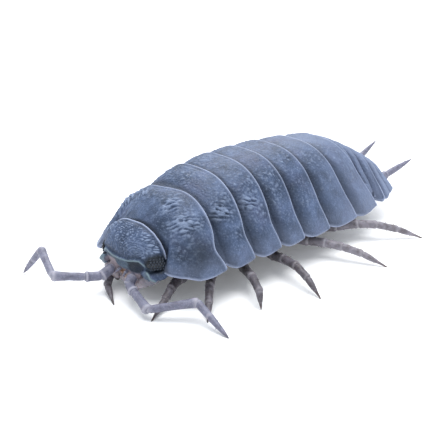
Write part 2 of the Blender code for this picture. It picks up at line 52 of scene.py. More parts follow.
# The body's sizes as in the part's source: y, half width, ridge, side edge, corner
TRUNK = (
    (1.92, 3.42, 4.25, 1.25, 0.12),
    (3.40, 3.52, 4.63, 1.30, 0.12),
    (4.87, 3.56, 4.80, 1.34, 0.18),
    (6.22, 3.57, 4.82, 1.32, 0.28),
    (7.72, 3.54, 4.77, 1.25, 0.48),
    (9.36, 3.42, 4.63, 1.17, 0.88),
    (10.90, 3.13, 4.44, 1.16, 1.18),
)
ABDOMEN = (
    (11.50, 2.42, 4.20, 1.62, 0.52),
    (12.10, 2.46, 3.90, 1.56, 0.42),
    (12.70, 2.88, 3.56, 1.20, 0.30),
    (13.30, 2.66, 3.20, 1.20, 0.36),
    (13.90, 2.28, 2.82, 1.20, 0.52),
)
COLLAR = (0.0, 2.05, 3.16, 1.42, 0.0)
HEAD_TURN = math.tan(math.radians(7.0))

# Level cuts of the head from the crown down: height, half width, reach forward
HEAD_CUTS = (
    (3.08, 0.45, 0.10), (3.00, 0.76, 0.26), (2.82, 1.12, 0.46), (2.52, 1.46, 0.66),
    (2.20, 1.66, 0.78), (1.90, 1.74, 0.84), (1.68, 1.74, 0.86), (1.56, 1.72, 0.90),
    (1.46, 1.64, 0.80), (1.20, 1.50, 0.74), (1.00, 1.34, 0.68), (0.86, 1.12, 0.56),
)

# The bends of the feelers, from the root to the tip on the floor
ANTENNA_LEFT = (
    (0.65, -0.87, 1.03), (0.72, -1.15, 0.76), (1.27, -1.32, 0.70),
    (2.50, -1.53, 0.43), (3.92, -0.09, 0.78), (5.87, -0.15, 0.0),
)
ANTENNA_RIGHT = (
    (-0.65, -1.03, 1.03), (-0.59, -1.62, 0.84), (-0.81, -2.26, 0.94),
    (-1.35, -3.51, 1.22), (-3.33, -2.90, 1.54), (-4.73, -3.23, 0.0),
)

# Where the legs start and stand, and their joints: share of the reach, height
LEG_ROOT_X = 1.62
LEG_ROOT_Z = 0.66
LEG_ROOT_Y = (1.05, 2.65, 4.10, 5.50, 6.95, 8.50, 10.00)
LEFT_TIPS = (
    (2.76, -1.57), (4.38, 0.02), (5.08, 2.29), (6.16, 4.70),
    (6.22, 9.04), (5.41, 12.78), (1.35, 13.20),
)
LEFT_JOINTS = (
    ((0.20, 0.78), (0.40, 0.66), (0.58, 0.40)),
    ((0.30, 0.66), (0.55, 0.72), (0.78, 0.40)),
    ((0.32, 0.60), (0.66, 0.84), (0.93, 0.72)),
    ((0.26, 0.64), (0.42, 0.78), (0.62, 0.82), (0.79, 0.58)),
    ((0.26, 0.70), (0.42, 0.72), (0.58, 0.66), (0.76, 0.48)),
    ((0.26, 0.70), (0.44, 0.82), (0.60, 0.76), (0.78, 0.50)),
    ((0.24, 0.60), (0.44, 0.62), (0.64, 0.52), (0.82, 0.34)),
)
RIGHT_TIPS = (
    (0.62, -1.90), (-3.55, 1.35), (-4.75, 3.10), (-5.35, 5.55),
    (-5.75, 8.30), (-5.60, 11.60), (-4.60, 14.10),
)
RIGHT_JOINTS = (
    ((0.22, 0.60), (0.46, 0.38), (0.70, 0.35)),
    ((0.30, 0.66), (0.55, 0.72), (0.78, 0.46)),
    ((0.28, 0.64), (0.46, 0.78), (0.66, 0.74), (0.82, 0.48)),
    ((0.26, 0.64), (0.42, 0.78), (0.62, 0.80), (0.79, 0.54)),
    ((0.26, 0.68), (0.42, 0.76), (0.60, 0.72), (0.78, 0.50)),
    ((0.26, 0.70), (0.44, 0.80), (0.60, 0.74), (0.78, 0.50)),
    ((0.26, 0.70), (0.44, 0.76), (0.60, 0.70), (0.78, 0.48)),
)
FRONT_RIGHT_BOW = 0.80

# The way the wavy folds run, the way across them, and the way square to both
RUN = np.array((0.65, 0.76, 0.0))
CROSS = np.array((0.57, -0.49, -0.66))
OUTWARD = np.array((0.50, -0.43, 0.75))

GRAIN_FULL_WITHIN = 0.12
COBBLE_GROOVE = 0.34
COBBLE_SINK = 0.35


# Seeded noise and smooth steps

def lattice(i, j, k, seed):
    """A repeatable number from 0 to 1 for each whole-numbered point."""
    h = (i * 73856093) ^ (j * 19349663) ^ (k * 83492791) ^ (seed * 40503)
    h = (h & 0x7FFFFFFF) * 1103515245 + 12345
    h = (h ^ (h >> 15)) & 0x7FFFFFFF
    h = h * 69069 + 1
    h = (h ^ (h >> 13)) & 0xFFFFFF
    return h / float(0xFFFFFF)


def smooth_noise(p, seed):
    """Smooth noise from 0 to 1, one lump per unit."""
    base = np.floor(p).astype(np.int64)
    f = p - base
    f = f * f * (3.0 - 2.0 * f)
    total = np.zeros(len(p))
    for dx in (0, 1):
        wx = f[:, 0] if dx else 1.0 - f[:, 0]
        for dy in (0, 1):
            wy = f[:, 1] if dy else 1.0 - f[:, 1]
            for dz in (0, 1):
                wz = f[:, 2] if dz else 1.0 - f[:, 2]
                cell = lattice(base[:, 0] + dx, base[:, 1] + dy, base[:, 2] + dz, seed)
                total += wx * wy * wz * cell
    return total


def cloudy(p, seed, octaves=3):
    """Smooth noise summed over finer and finer lumps, about 0 on average."""
    total, weight, size = np.zeros(len(p)), 0.0, 1.0
    for octave in range(octaves):
        total += size * smooth_noise(p * 2.0 ** octave, seed + octave)
        weight += size
        size *= 0.5
    return total / weight - 0.5


def cell_gaps(p, seed):
    """Distances to the nearest and second nearest of one scattered point per unit cell."""
    base = np.floor(p).astype(np.int64)
    nearest = np.full(len(p), FAR)
    second = np.full(len(p), FAR)
    for dx in (-1, 0, 1):
        for dy in (-1, 0, 1):
            for dz in (-1, 0, 1):
                i, j, k = base[:, 0] + dx, base[:, 1] + dy, base[:, 2] + dz
                gap = (i + lattice(i, j, k, seed) - p[:, 0]) ** 2
                gap += (j + lattice(i, j, k, seed + 7) - p[:, 1]) ** 2
                gap += (k + lattice(i, j, k, seed + 13) - p[:, 2]) ** 2
                second = np.minimum(second, np.maximum(nearest, gap))
                nearest = np.minimum(nearest, gap)
    return np.sqrt(nearest), np.sqrt(second)


def grains(p, seed, radius=0.50):
    """Rounded grains, one per unit cell: 1 at a grain's middle, 0 between them."""
    return ease(cell_gaps(p, seed)[0], radius, GRAIN_FULL_WITHIN)


def cobbles(p, seed, groove=COBBLE_GROOVE):
    """Rounded cobbles that fill the surface, with narrow grooves between them."""
    nearest, second = cell_gaps(p, seed)
    return ease(second - nearest, 0.0, groove) * (1.0 - COBBLE_SINK * ease(nearest, 0.2, 0.8))


def lumps(p, seed, length, width, groove=COBBLE_GROOVE):
    """Long low lumps that run across the view from the animal's front left."""
    q = np.stack((p @ RUN / length, p @ CROSS / width, p @ OUTWARD / length), -1)
    return cobbles(q, seed, groove)


def ease(value, low, high):
    """0 at low, 1 at high and smooth between, whichever of them is larger."""
    x = np.clip((value - low) / (high - low), 0.0, 1.0)
    return x * x * (3.0 - 2.0 * x)


def bell(value, middle, width):
    """1 at the middle, falling smoothly to 0 on both sides."""
    return np.exp(-((value - middle) / width) ** 2)


def patch(points, middle, reach):
    """1 at a place, falling smoothly to 0 all round, with a reach along each axis."""
    away = (points - np.array(middle)) / np.array(reach)
    return np.exp(-(away ** 2).sum(-1))


def mirrored(points):
    """The points with the right side laid over the left."""
    points = points.copy()
    points[:, 0] = np.abs(points[:, 0])
    return points


# Making pieces

def make_piece(name, points, faces, material, nodes=(), values=None):
    """A smooth mesh in the row's frame that rides on the root and stands for nodes."""
    mesh = bpy.data.meshes.new(name)
    placed = (np.asarray(points, float) - SHIFT) * MM
    mesh.from_pydata(placed.tolist(), [], [tuple(int(i) for i in f) for f in faces])
    for key, numbers in (values or {}).items():
        layer = mesh.attributes.new(key, "FLOAT", "POINT")
        layer.data.foreach_set("value", np.asarray(numbers, np.float32))
    mesh.shade_smooth()
    mesh.materials.append(material)
    piece = bpy.data.objects.new(name, mesh)
    bpy.context.scene.collection.objects.link(piece)
    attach(piece, "root")
    if nodes:
        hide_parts(*nodes)


def grid_faces(rows, columns, start=0, wrap=False, flip=False):
    """Four-sided faces of a grid of points stored row by row."""
    i = np.arange(rows - 1)[:, None]
    j = np.arange(columns if wrap else columns - 1)[None, :]
    k = (j + 1) % columns
    corners = [i * columns + j, (i + 1) * columns + j, (i + 1) * columns + k, i * columns + k]
    quads = np.stack([np.broadcast_to(c, (rows - 1, j.shape[1])) for c in corners], -1)
    quads = quads.reshape(-1, 4) + start
    return quads[:, ::-1] if flip else quads


def stack_faces(rows, sides):
    """Faces of a stack of closed rings, with a point in the middle of either end."""
    first, last = rows * sides, rows * sides + 1
    top = (rows - 1) * sides
    j = np.arange(sides)
    k = (j + 1) % sides
    start_fan = np.stack((np.full(sides, first), j, k), -1)
    end_fan = np.stack((np.full(sides, last), top + k, top + j), -1)
    return grid_faces(rows, sides, wrap=True), np.concatenate((start_fan, end_fan))


def closed_stack(rings, ends=None):
    """Points and outward faces of a closed stack of rings."""
    if ends is None:
        ends = (rings[0].mean(0), rings[-1].mean(0))
    points = np.concatenate(list(rings) + [np.array(ends)])
    return points, facing_out(points, stack_faces(len(rings), len(rings[0])))


def outward(points, faces):
    """True if a closed surface's faces point out."""
    p = points[faces]
    a = np.cross(p[:, 1] - p[:, 0], p[:, 2] - p[:, 0])
    b = np.cross(p[:, 2] - p[:, 0], p[:, 3] - p[:, 0])
    return (p[:, 0] * (a + b)).sum() > 0.0


def facing_out(points, groups):
    """Groups of faces turned outward, judged by the first group's four-sided faces."""
    if outward(points, groups[0]):
        return groups
    return tuple(faces[:, ::-1] for faces in groups)


def grid_normals(grid):
    """Unit normals of a grid of points, pointing up in its middle."""
    n = np.cross(np.gradient(grid, axis=0), np.gradient(grid, axis=1))
    n = n / np.maximum(np.linalg.norm(n, axis=2, keepdims=True), 1e-9)
    rows, columns = grid.shape[:2]
    return -n if n[rows // 2, columns // 2, 2] < 0.0 else n


def thick_shell(outer, relief, thickness, edge_share):
    """A sheet given thickness, rounded where edge_share falls from 1 to 0 at its edge."""
    normal = grid_normals(outer)
    to_edge = 1.0 - np.clip(edge_share, 0.0, 1.0)
    roundness = np.sqrt(np.clip(1.0 - to_edge ** 2, 0.0, 1.0))
    half = 0.5 * thickness
    upper = outer + normal * (relief - half * (1.0 - roundness))[..., None]
    lower = outer - normal * (half * (1.0 + roundness))[..., None]
    return close_shell(upper, lower)


def close_shell(upper, lower):
    """Join two grids of the same size into one closed surface."""
    rows, columns = upper.shape[:2]
    last = rows * columns
    points = np.concatenate((upper.reshape(-1, 3), lower.reshape(-1, 3)))
    border = [(i, 0) for i in range(rows)] + [(rows - 1, j) for j in range(1, columns)]
    border += [(i, columns - 1) for i in range(rows - 2, -1, -1)]
    border += [(0, j) for j in range(columns - 2, 0, -1)]
    ids = [i * columns + j for i, j in border]
    rim = [(b, a, a + last, b + last) for a, b in zip(ids, ids[1:] + ids[:1])]
    faces = np.concatenate((
        grid_faces(rows, columns), grid_faces(rows, columns, last, flip=True), np.array(rim)))
    return points, facing_out(points, (faces,))[0]


def both_sides(upper, lower=None):
    """A value for a shell's upper points and one for its lower points."""
    upper = upper.reshape(-1)
    lower = upper if lower is None else np.full(len(upper), lower)
    return np.concatenate((upper, lower))


def near_edges(count, length, fine):
    """Samples from 0 to 1 with extra ones close to 1, for a rim of a given radius."""
    coarse = np.linspace(0.0, 1.0 - 1.3 * fine / length, count)
    rim = 1.0 - (fine / length) * np.array((1.0, 0.75, 0.5, 0.3, 0.14, 0.04, 0.0))
    return np.concatenate((coarse, rim))


def both_ways(half):
    """Samples from 0 to 1 laid out from -1 to 1."""
    return np.concatenate((-half[:0:-1], half))


# Shell plates

PLATE_THICKNESS = 0.11
RIM_RADIUS = 0.06
EDGE_HEIGHT = 0.12
EDGE_LEAN = 0.022
SIDE_FLARE = 0.045
SIDE_FLARE_FROM = 0.6
TYPICAL_HALF_WIDTH = 3.5
TYPICAL_RISE = 3.3
TRUNK_SAMPLES = (128, 44)
ABDOMEN_SAMPLES = (80, 22)
TUCK_SAMPLES = 5
COLLAR_SAMPLES = 24

# How a plate's outline differs from straight lines between its front and rear
PLATE_TUCK = 0.42
PLATE_STEP = 0.15
PLATE_SWELL = 0.05
PLATE_SIDE_SWELL = 0.15
PLATE_SIDE_DIP = 0.07
PLATE_SIDE_SKEW = 0.6
CORNER_ROUNDING = 0.14
CORNER_LIFT = 0.10
CORNER_SHARE = 0.3
SINUS = (0.27, 0.16, 0.14, 0.10, 0.07, 0.04, 0.0, 0.0, 0.0, 0.0, 0.0, 0.0)
SINUS_AT = 0.88
SINUS_WIDTH = 0.085
REAR_TURN = 0.13
REAR_TURN_FROM = 0.962

# The first plate, which reaches round the head
COLLAR_TUCK = 0.20
COLLAR_TUCK_NARROWS = 0.75
COLLAR_TUCK_FALLS = 1.15
COLLAR_CORNER = 0.40
COLLAR_CORNER_FROM = 0.84
COLLAR_SWELL = 0.20
COLLAR_SIDE_SWELL = 0.10
COLLAR_SIDE_DIP = 0.11
COLLAR_SIDE_SKEW = 0.6
COLLAR_ROUNDNESS = 0.6
COLLAR_FULL_AT = 0.75
COLLAR_TURN_END = 0.6
COLLAR_RIGHT_TURN = 0.2
RIGHT_CORNER_OUT = 0.26
RIGHT_CORNER_AHEAD = 0.20
RIGHT_CORNER_DROP = 0.18
LEFT_CORNER_DROP = 0.12
CORNER_RANGE = (0.55, 1.0)
SHOULDER_DROP = 0.26
SHOULDER_SIDE = (-0.2, 1.3)
SHOULDER_HEIGHT = (1.2, 1.9)
RIDGE_MIDDLE = -0.4
RIDGE_REACH = 1.3
RIDGE_DROP = 0.13
RIDGE_PULL = 0.22
SECOND_DROP = 0.07

# The relief: spacing and height of the grain, where it is calm, and the beaded rim
GRAIN_WARP = 0.08
GRAIN_WARP_SIZE = 0.25
COARSE_SIZE = 0.21
COARSE_RADIUS = 0.52
COARSE_HEIGHT = 0.034
FINE_SIZE = 0.135
FINE_HEIGHT = 0.026
SWELL_SIZE = 0.55
SWELL_HEIGHT = 0.030
ROUGH_SIZE = 1.1
ROUGH_RANGE = (-0.12, 0.10)
CALM_RIM = (0.08, 0.26)
CALM_REAR = (5.0, 10.5)
CALM_REAR_SHARE = 0.40
CALM_RIDGE = (0.18, 0.42)
CALM_RIDGE_SHARE = 0.40
CALM_SIDE = (0.86, 0.95)
CALM_SIDE_SHARE = 0.70
CALM_FRONT = (0.22, 0.02)
CALM_FRONT_SHARE = 0.65
BEAD = (0.05, 0.045, 0.016)
GROOVE = (0.17, 0.07, -0.012)

# Patches of wavy folds: middle, reach along each axis, and the segment they are on
FOLDS = (
    ((2.02, 0.92, 3.22), (0.42, 0.52, 0.36), 1),
    ((1.08, 0.90, 3.80), (0.30, 0.36, 0.30), 1),
    ((2.30, 2.66, 3.35), (0.36, 0.42, 0.32), 2),
    ((2.45, 4.10, 3.40), (0.26, 0.40, 0.28), 3),
)
FOLD_SPACING = 0.19
FOLD_HEIGHT = 0.115
FOLD_SINK = 0.030
FOLD_SHARE = 0.85
PATCH_SWELL = 1.6

# What the colours of a plate follow, painted shade and painted light among them
PALE_WIDTH = 0.062
PALE_WIDTH_BEHIND = 0.022
SIDE_PALE = 0.14
# The first plate's right front corner painted paler: partly its own thin pale edge, partly painted
# light shining through it from behind
CORNER_PALE = 0.55
CORNER_PALE_FROM = (1.75, 2.15)
CORNER_PALE_TO = (0.25, 0.0)
ABDOMEN_PALE = 0.6
ABDOMEN_TUCK_SHADE = 0.45
RELIEF_FULL = 0.055
# Painted light: the rear of the trunk and the abdomen painted lighter; where it starts, where it is
# full, most share
REAR_LIGHT_TRUNK = (6.5, 12.5, 0.75)
REAR_LIGHT_ABDOMEN = (12.0, 13.5, 0.5)
# Painted shade on the first plate's flank: middle, reach along each axis, share
FLANK_SHADE = (2.90, 0.95, 2.20)
FLANK_SHADE_REACH = (0.80, 0.70, 0.80)
FLANK_SHADE_SHARE = 0.80
# Painted shade where each plate lies under the plate before, and where the first lies under the
# head
TUCK_SHADE = (0.16, 0.30)
TUCK_SHADE_SIDE = (0.45, 0.80)
COLLAR_SHADE = (0.10, -0.06, 1.6)


def arch(t):
    """Height of a cut, 1 at the ridge and 0 at the side edge, a little hollow low down."""
    flare = np.clip((t - SIDE_FLARE_FROM) / (1.0 - SIDE_FLARE_FROM), 0.0, 1.0)
    return 1.0 - t ** 3 - SIDE_FLARE * np.sin(np.pi * flare) ** 2


def arc_table():
    """How far along the cut each share of the half width lies, in millimetres."""
    t = np.linspace(0.0, 1.0, 400)
    x, z = TYPICAL_HALF_WIDTH * t, TYPICAL_RISE * arch(t)
    lengths = np.concatenate(([0.0], np.cumsum(np.hypot(np.diff(x), np.diff(z)))))
    return t, lengths


ARC_T, ARC_LENGTH = arc_table()
HALF_ARC = ARC_LENGTH[-1] + EDGE_HEIGHT


def cut_point(w, width, ridge, margin):
    """x, z and the share t of the half width for a place w, -1 to 1, round the cut."""
    along = np.abs(w) * HALF_ARC
    t = np.interp(along, ARC_LENGTH, ARC_T)
    below = np.clip((along - ARC_LENGTH[-1]) / EDGE_HEIGHT, 0.0, 1.0)
    top = margin + EDGE_HEIGHT
    x = np.sign(w) * width * (t - EDGE_LEAN * below)
    z = top + (ridge - top) * arch(t) - EDGE_HEIGHT * below
    return x, z, t


def wavy_folds(p, centre, reach):
    """Short wavy folds round a middle: their height from 0 to 1 and the patch's share."""
    away = p - np.array(centre)
    lane = away[:, 0] * 0.68 - away[:, 2] * 0.73 - 0.49 * away[:, 1]
    lane = lane + 1.2 * FOLD_SPACING * cloudy(p / (1.4 * FOLD_SPACING), 5, 2)
    wave = 0.5 + 0.5 * np.cos(2.0 * np.pi * lane / FOLD_SPACING)
    short = lumps(p, 9, 2.4 * FOLD_SPACING, 0.95 * FOLD_SPACING)
    share = np.clip(PATCH_SWELL * patch(p, centre, reach), 0.0, 1.0)
    return 0.55 * wave ** 1.4 + 0.6 * short, share


def plate_relief(p, t, s, number, margin_gap):
    """Height of the plate's fine relief, in millimetres, at points p."""
    warped = p + GRAIN_WARP * (smooth_noise(p / GRAIN_WARP_SIZE, 71) - 0.5)[:, None]
    coarse = COARSE_HEIGHT * grains(warped / COARSE_SIZE, 11 + number, COARSE_RADIUS)
    coarse = coarse * ease(cloudy(p / ROUGH_SIZE, 3), *ROUGH_RANGE)
    fine = FINE_HEIGHT * grains(warped / FINE_SIZE, 31 + number)
    calm = ease(margin_gap, *CALM_RIM)
    calm = calm * (1.0 - CALM_REAR_SHARE * ease(p[:, 1], *CALM_REAR))
    calm = calm * (1.0 - CALM_RIDGE_SHARE * ease(t, *CALM_RIDGE[::-1]))
    at_side = 1.0 - CALM_SIDE_SHARE * ease(t, *CALM_SIDE)
    at_front = 1.0 - CALM_FRONT_SHARE * ease(s, *CALM_FRONT)
    relief = (coarse + fine) * calm * at_side * at_front
    relief += SWELL_HEIGHT * cloudy(p / SWELL_SIZE, 21) * calm
    for centre, reach, owner in FOLDS:
        if owner == number:
            wave, share = wavy_folds(mirrored(p), centre, reach)
            folds = FOLD_HEIGHT * wave - FOLD_SINK
            relief = relief * (1.0 - FOLD_SHARE * share) + folds * share
    return relief


def plate_places(number, length):
    """Places round the plate's cut, -1 to 1, and along it from its tucked front to 1."""
    around, along = TRUNK_SAMPLES if number <= len(TRUNK) else ABDOMEN_SAMPLES
    w = both_ways(near_edges(around, HALF_ARC, RIM_RADIUS))
    s = near_edges(along, length, RIM_RADIUS)
    if number == 1:
        tuck = np.linspace(-COLLAR_TUCK / length, -0.02, TUCK_SAMPLES)
        ahead = 1.0 - near_edges(COLLAR_SAMPLES, length, RIM_RADIUS)[::-1]
        s = np.concatenate((tuck, ahead[ahead <= 0.5], s[s > 0.5]))
    else:
        s = np.concatenate((np.linspace(-PLATE_TUCK / length, -0.03, TUCK_SAMPLES), s))
    return np.meshgrid(w, s, indexing="ij")


def collar_cut(front, rear, length, W, S, inside):
    """x, z and t of the first plate, which grows quickly behind the head."""
    dip = np.sin(np.pi * inside ** COLLAR_SIDE_SKEW)
    bulge = np.sin(np.pi * inside)
    margin = front[3] + (rear[3] - front[3]) * inside - COLLAR_SIDE_DIP * dip
    grown = np.sin(0.5 * np.pi * np.clip(inside / COLLAR_FULL_AT, 0.0, 1.0))
    width = front[1] + (rear[1] - front[1]) * grown ** COLLAR_ROUNDNESS
    width = width + COLLAR_SIDE_SWELL * bulge
    ridge = front[2] + (rear[2] - front[2]) * inside + COLLAR_SWELL * bulge
    tucked = np.clip(-S * length, 0.0, None)
    width = width - COLLAR_TUCK_NARROWS * tucked
    return cut_point(W, width, ridge - COLLAR_TUCK_FALLS * tucked, margin)


def plate_cut(front, rear, W, S, inside):
    """x, z and t of a plate whose front lies under the plate before it."""
    early = np.clip(1.0 - S / CORNER_SHARE, 0.0, 1.0) ** 2
    side = np.sin(np.pi * inside ** PLATE_SIDE_SKEW)
    margin = front[3] + (rear[3] - front[3]) * inside + CORNER_LIFT * early
    width, ridge = front[1] - PLATE_STEP, front[2] - PLATE_STEP
    width = width + (rear[1] - width) * inside + PLATE_SIDE_SWELL * side
    ridge = ridge + (rear[2] - ridge) * S + PLATE_SWELL * np.sin(np.pi * inside)
    return cut_point(W, width - CORNER_ROUNDING * early, ridge, margin - PLATE_SIDE_DIP * side)


def fit_collar(x, y, z, t, inside):
    """The first plate's uneven corners, its low right shoulder and its rear edge."""
    right = x < 0.0
    corner = (1.0 - inside) ** 3 * ease(t, *CORNER_RANGE)
    x = x - np.where(right, RIGHT_CORNER_OUT, 0.0) * corner
    z = z - np.where(right, RIGHT_CORNER_DROP, LEFT_CORNER_DROP) * corner
    y = y - np.where(right, RIGHT_CORNER_AHEAD, 0.0) * corner
    shoulder = ease(-x, *SHOULDER_SIDE) * (1.0 - 0.5 * inside) * ease(z, *SHOULDER_HEIGHT)
    over_ridge = bell(x, RIDGE_MIDDLE, RIDGE_REACH) * ease(inside, 0.3, 1.0)
    z = z - SHOULDER_DROP * shoulder - RIDGE_DROP * over_ridge
    y = y - RIDGE_PULL * over_ridge
    turn = np.clip((COLLAR_TURN_END - y) / COLLAR_TURN_END, 0.0, 1.0)
    turn = np.where(x < 0.0, turn * COLLAR_RIGHT_TURN, turn)
    return x, y + HEAD_TURN * turn * x, z


def plate_outline(number, front, rear, W, S, start):
    """The plate's middle surface and the share t of the half width."""
    length = rear[0] - start
    inside = np.clip(S, 0.0, 1.0)
    if number == 1:
        x, z, t = collar_cut(front, rear, length, W, S, inside)
        ahead = (np.abs(x / front[1]) - COLLAR_CORNER_FROM) / (1.0 - COLLAR_CORNER_FROM)
        front_sweep = -COLLAR_CORNER * np.clip(ahead, 0.0, 1.0)
    else:
        x, z, t = plate_cut(front, rear, W, S, inside)
        front_sweep = front[4] * np.abs(x / front[1]) ** 3
    rear_sweep = rear[4] * np.abs(x / rear[1]) ** 3
    rear_sweep = rear_sweep - SINUS[number - 1] * bell(t, SINUS_AT, SINUS_WIDTH)
    turn = np.clip((np.abs(W) - REAR_TURN_FROM) / (1.0 - REAR_TURN_FROM), 0.0, 1.0)
    rear_sweep = rear_sweep - REAR_TURN * turn ** 2
    y = start + length * S + (1.0 - inside) * front_sweep + inside * rear_sweep
    if number == 1:
        x, y, z = fit_collar(x, y, z, t, inside)
    if number == 2:
        z = z - SECOND_DROP * bell(x, RIDGE_MIDDLE, RIDGE_REACH) * ease(S, 0.4, -0.1)
    return np.stack((x, y, z), -1), t


def plate_values(number, outer, t, S, length, to_side, relief):
    """What the colours of a plate follow, for its upper and its lower points."""
    first, abdomen = number == 1, number > len(TRUNK)
    x, y = outer[..., 0], outer[..., 1]
    to_rear = (1.0 - S) * length
    to_margin = np.minimum(to_side, to_rear)
    width = PALE_WIDTH + PALE_WIDTH_BEHIND * ease(to_rear - to_side, 0.0, 0.2)
    pale = bell(np.clip(to_margin - 0.01, 0.0, None), 0.0, width)
    pale = pale + SIDE_PALE * ease(t, 0.86, 1.0)
    # Right front corner: its own pale edge, and painted light shining through it from behind.
    if first:
        at_front = ease(np.clip(S, 0.0, 1.0), *CORNER_PALE_TO)
        pale = pale + CORNER_PALE * ease(-x, *CORNER_PALE_FROM) * at_front
    pale = np.clip(pale, 0.0, 1.0) * (ABDOMEN_PALE if abdomen else 1.0)
    # Painted light: the rear plates are painted lighter.
    painted_rear_light = REAR_LIGHT_TRUNK[2] * ease(y, *REAR_LIGHT_TRUNK[:2])
    painted_rear_light = painted_rear_light + REAR_LIGHT_ABDOMEN[2] * ease(y, *REAR_LIGHT_ABDOMEN[:2])
    # Painted shade on the first plate's flank.
    shade = patch(np.abs(outer), FLANK_SHADE, FLANK_SHADE_REACH)
    # Painted shade: each plate's front is painted dark where it lies under the plate before, the
    # first plate's where it lies under the head.
    tuck = ease(S, TUCK_SHADE[0] + TUCK_SHADE[1] * ease(t, *TUCK_SHADE_SIDE), 0.0)
    tuck = tuck * (ABDOMEN_TUCK_SHADE if abdomen else 1.0)
    if first:
        near, far, depth = COLLAR_SHADE
        tuck = depth * ease(S * length, near, far)
    return {
        "pale": both_sides(pale),
        "height": both_sides(np.clip(relief / RELIEF_FULL, -1.0, 1.0), 0.0),
        "tuck": both_sides(tuck),
        "painted_rear_light": both_sides(painted_rear_light),
        "dark": both_sides(shade * (FLANK_SHADE_SHARE if first else 0.0)),
        "under": both_sides(0.0 * t, 1.0 if number < len(TRUNK) else 0.0),
    }


def body_plate(name, number, front, rear, material):
    """One overlapping plate of the back: a thin shell with a rounded pale rim."""
    start = front[0] + (0.0 if number == 1 else SEAM)
    length = rear[0] - start
    W, S = plate_places(number, length)
    outer, t = plate_outline(number, front, rear, W, S, start)
    to_side = (1.0 - np.abs(W)) * HALF_ARC
    to_rear = (1.0 - S) * length
    to_margin = np.minimum(to_side, to_rear)
    gap = np.minimum(to_margin, (S - S[0, 0]) * length)
    relief = plate_relief(
        outer.reshape(-1, 3), t.reshape(-1), S.reshape(-1), number, to_margin.reshape(-1))
    relief = relief.reshape(W.shape)
    rim = sum(height * bell(to_margin, at, width) for at, width, height in (BEAD, GROOVE))
    points, faces = thick_shell(outer, relief + rim, PLATE_THICKNESS, gap / RIM_RADIUS)
    values = plate_values(number, outer, t, S, length, to_side, relief)
    make_piece(name + "_plate", points, faces, material, (name,), values)


def build_plates(material):
    """The seven plates of the trunk and the five of the abdomen."""
    front = COLLAR
    for number, rear in enumerate(TRUNK, start=1):
        body_plate("pereonite_%d" % number, number, front, rear, material)
        front = rear
    for number, rear in enumerate(ABDOMEN, start=1):
        narrow = (front[0], min(front[1], rear[1] + PLATE_STEP), front[2], rear[3], front[4])
        body_plate("pleonite_%d" % number, len(TRUNK) + number, narrow, rear, material)
        front = rear


# The tail plate: how its half width falls from its root to its tip, and its relief
TELSON_START = ABDOMEN[-1][0] + 0.04
TELSON_LENGTH = 1.97
TELSON_HALF_WIDTH = 0.98
TELSON_PLACES = (0.0, 0.22, 0.40, 0.55, 0.75, 0.93, 1.0)
TELSON_SHARES = (1.0, 0.92, 0.66, 0.45, 0.28, 0.13, 0.05)
TELSON_ROOT_HEIGHT = 2.62
TELSON_FALL = 1.00
TELSON_CROWN = 0.30
TELSON_CROWN_POWER = 2.2
TELSON_HOLLOW = 0.07
TELSON_HOLLOW_WIDTH = 0.30
TELSON_SAMPLES = (30, 46)
TELSON_RIM = 0.05
TELSON_TIP_THICKNESS = 0.10
TELSON_ROOT_THICKNESS = 0.32
TELSON_GRAIN = (0.16, 0.022)
TELSON_SWELL = (0.5, 0.03)
TELSON_PALE = (0.07, 0.20)


def telson_piece(material):
    """The pointed tail plate, hollowed along the middle."""
    across, along = TELSON_SAMPLES
    f = near_edges(along, TELSON_LENGTH, TELSON_RIM)
    u = both_ways(near_edges(across, 1.0, TELSON_RIM))
    U, F = np.meshgrid(u, f, indexing="ij")
    half = TELSON_HALF_WIDTH * np.interp(F, TELSON_PLACES, TELSON_SHARES)
    z = TELSON_ROOT_HEIGHT - TELSON_FALL * F
    z = z - TELSON_CROWN * (1.0 - F) * np.abs(U) ** TELSON_CROWN_POWER
    hollow = bell(U, 0.0, TELSON_HOLLOW_WIDTH) * ease(F, 0.25, 0.6) * ease(F, 1.0, 0.85)
    z = z - TELSON_HOLLOW * hollow
    outer = np.stack((half * U, TELSON_START + TELSON_LENGTH * F, z), -1)
    gap = np.minimum((1.0 - np.abs(U)) * half, (1.0 - F) * TELSON_LENGTH)
    flat = outer.reshape(-1, 3)
    size, height = TELSON_GRAIN
    relief = height * grains(flat / size, 61) * ease(gap.reshape(-1), 0.10, 0.25)
    size, height = TELSON_SWELL
    relief = (relief + height * cloudy(flat / size, 63)).reshape(U.shape)
    thickness = TELSON_TIP_THICKNESS + TELSON_ROOT_THICKNESS * (1.0 - F) ** 1.5
    edge = np.minimum(gap, F * TELSON_LENGTH + 0.02) / RIM_RADIUS
    points, faces = thick_shell(outer, relief, thickness, edge)
    width, share = TELSON_PALE
    values = {
        "pale": both_sides(np.clip(bell(gap, 0.0, width) + share, 0.0, 1.0)),
        "height": both_sides(np.clip(relief / 0.05, -1.0, 1.0), 0.0),
        "under": both_sides(0.0 * U, 1.0),
    }
    make_piece("telson_plate", points, faces, material, ("telson",), values)


# The softer body inside the plates

CORE_FRONT = ((-0.30, 1.30, 2.70, 1.50), (0.0, 1.90, 3.00, 1.45))
CORE_BEHIND = 0.35
CORE_RINGS = 150
CORE_SIDES = 40
CORE_WIDTH = 0.86
CORE_BELOW_RIDGE = 0.46
CORE_ABOVE_EDGE = 0.45
CORE_FADE = (9.8, 11.6)
CORE_FADE_NARROWS = 0.52
CORE_FADE_FALLS = 0.45
BELLY = 1.02
BELLY_FADE_RISES = 0.16
BELLY_STEP = 0.035
BELLY_STEP_SPACING = 0.75
# The underside from the side inward: share of the half width, drop, share of the step
BELLY_SIDE = ((0.97, 0.02, 0.0), (0.90, 0.04, 0.0), (0.80, 0.08, 0.0), (0.66, 0.2, 0.3))
BELLY_FLAT = ((0.55, -0.12, 0.6), (0.42, 0.0, 1.0), (0.28, 0.01, 1.0), (0.14, 0.01, 1.0))


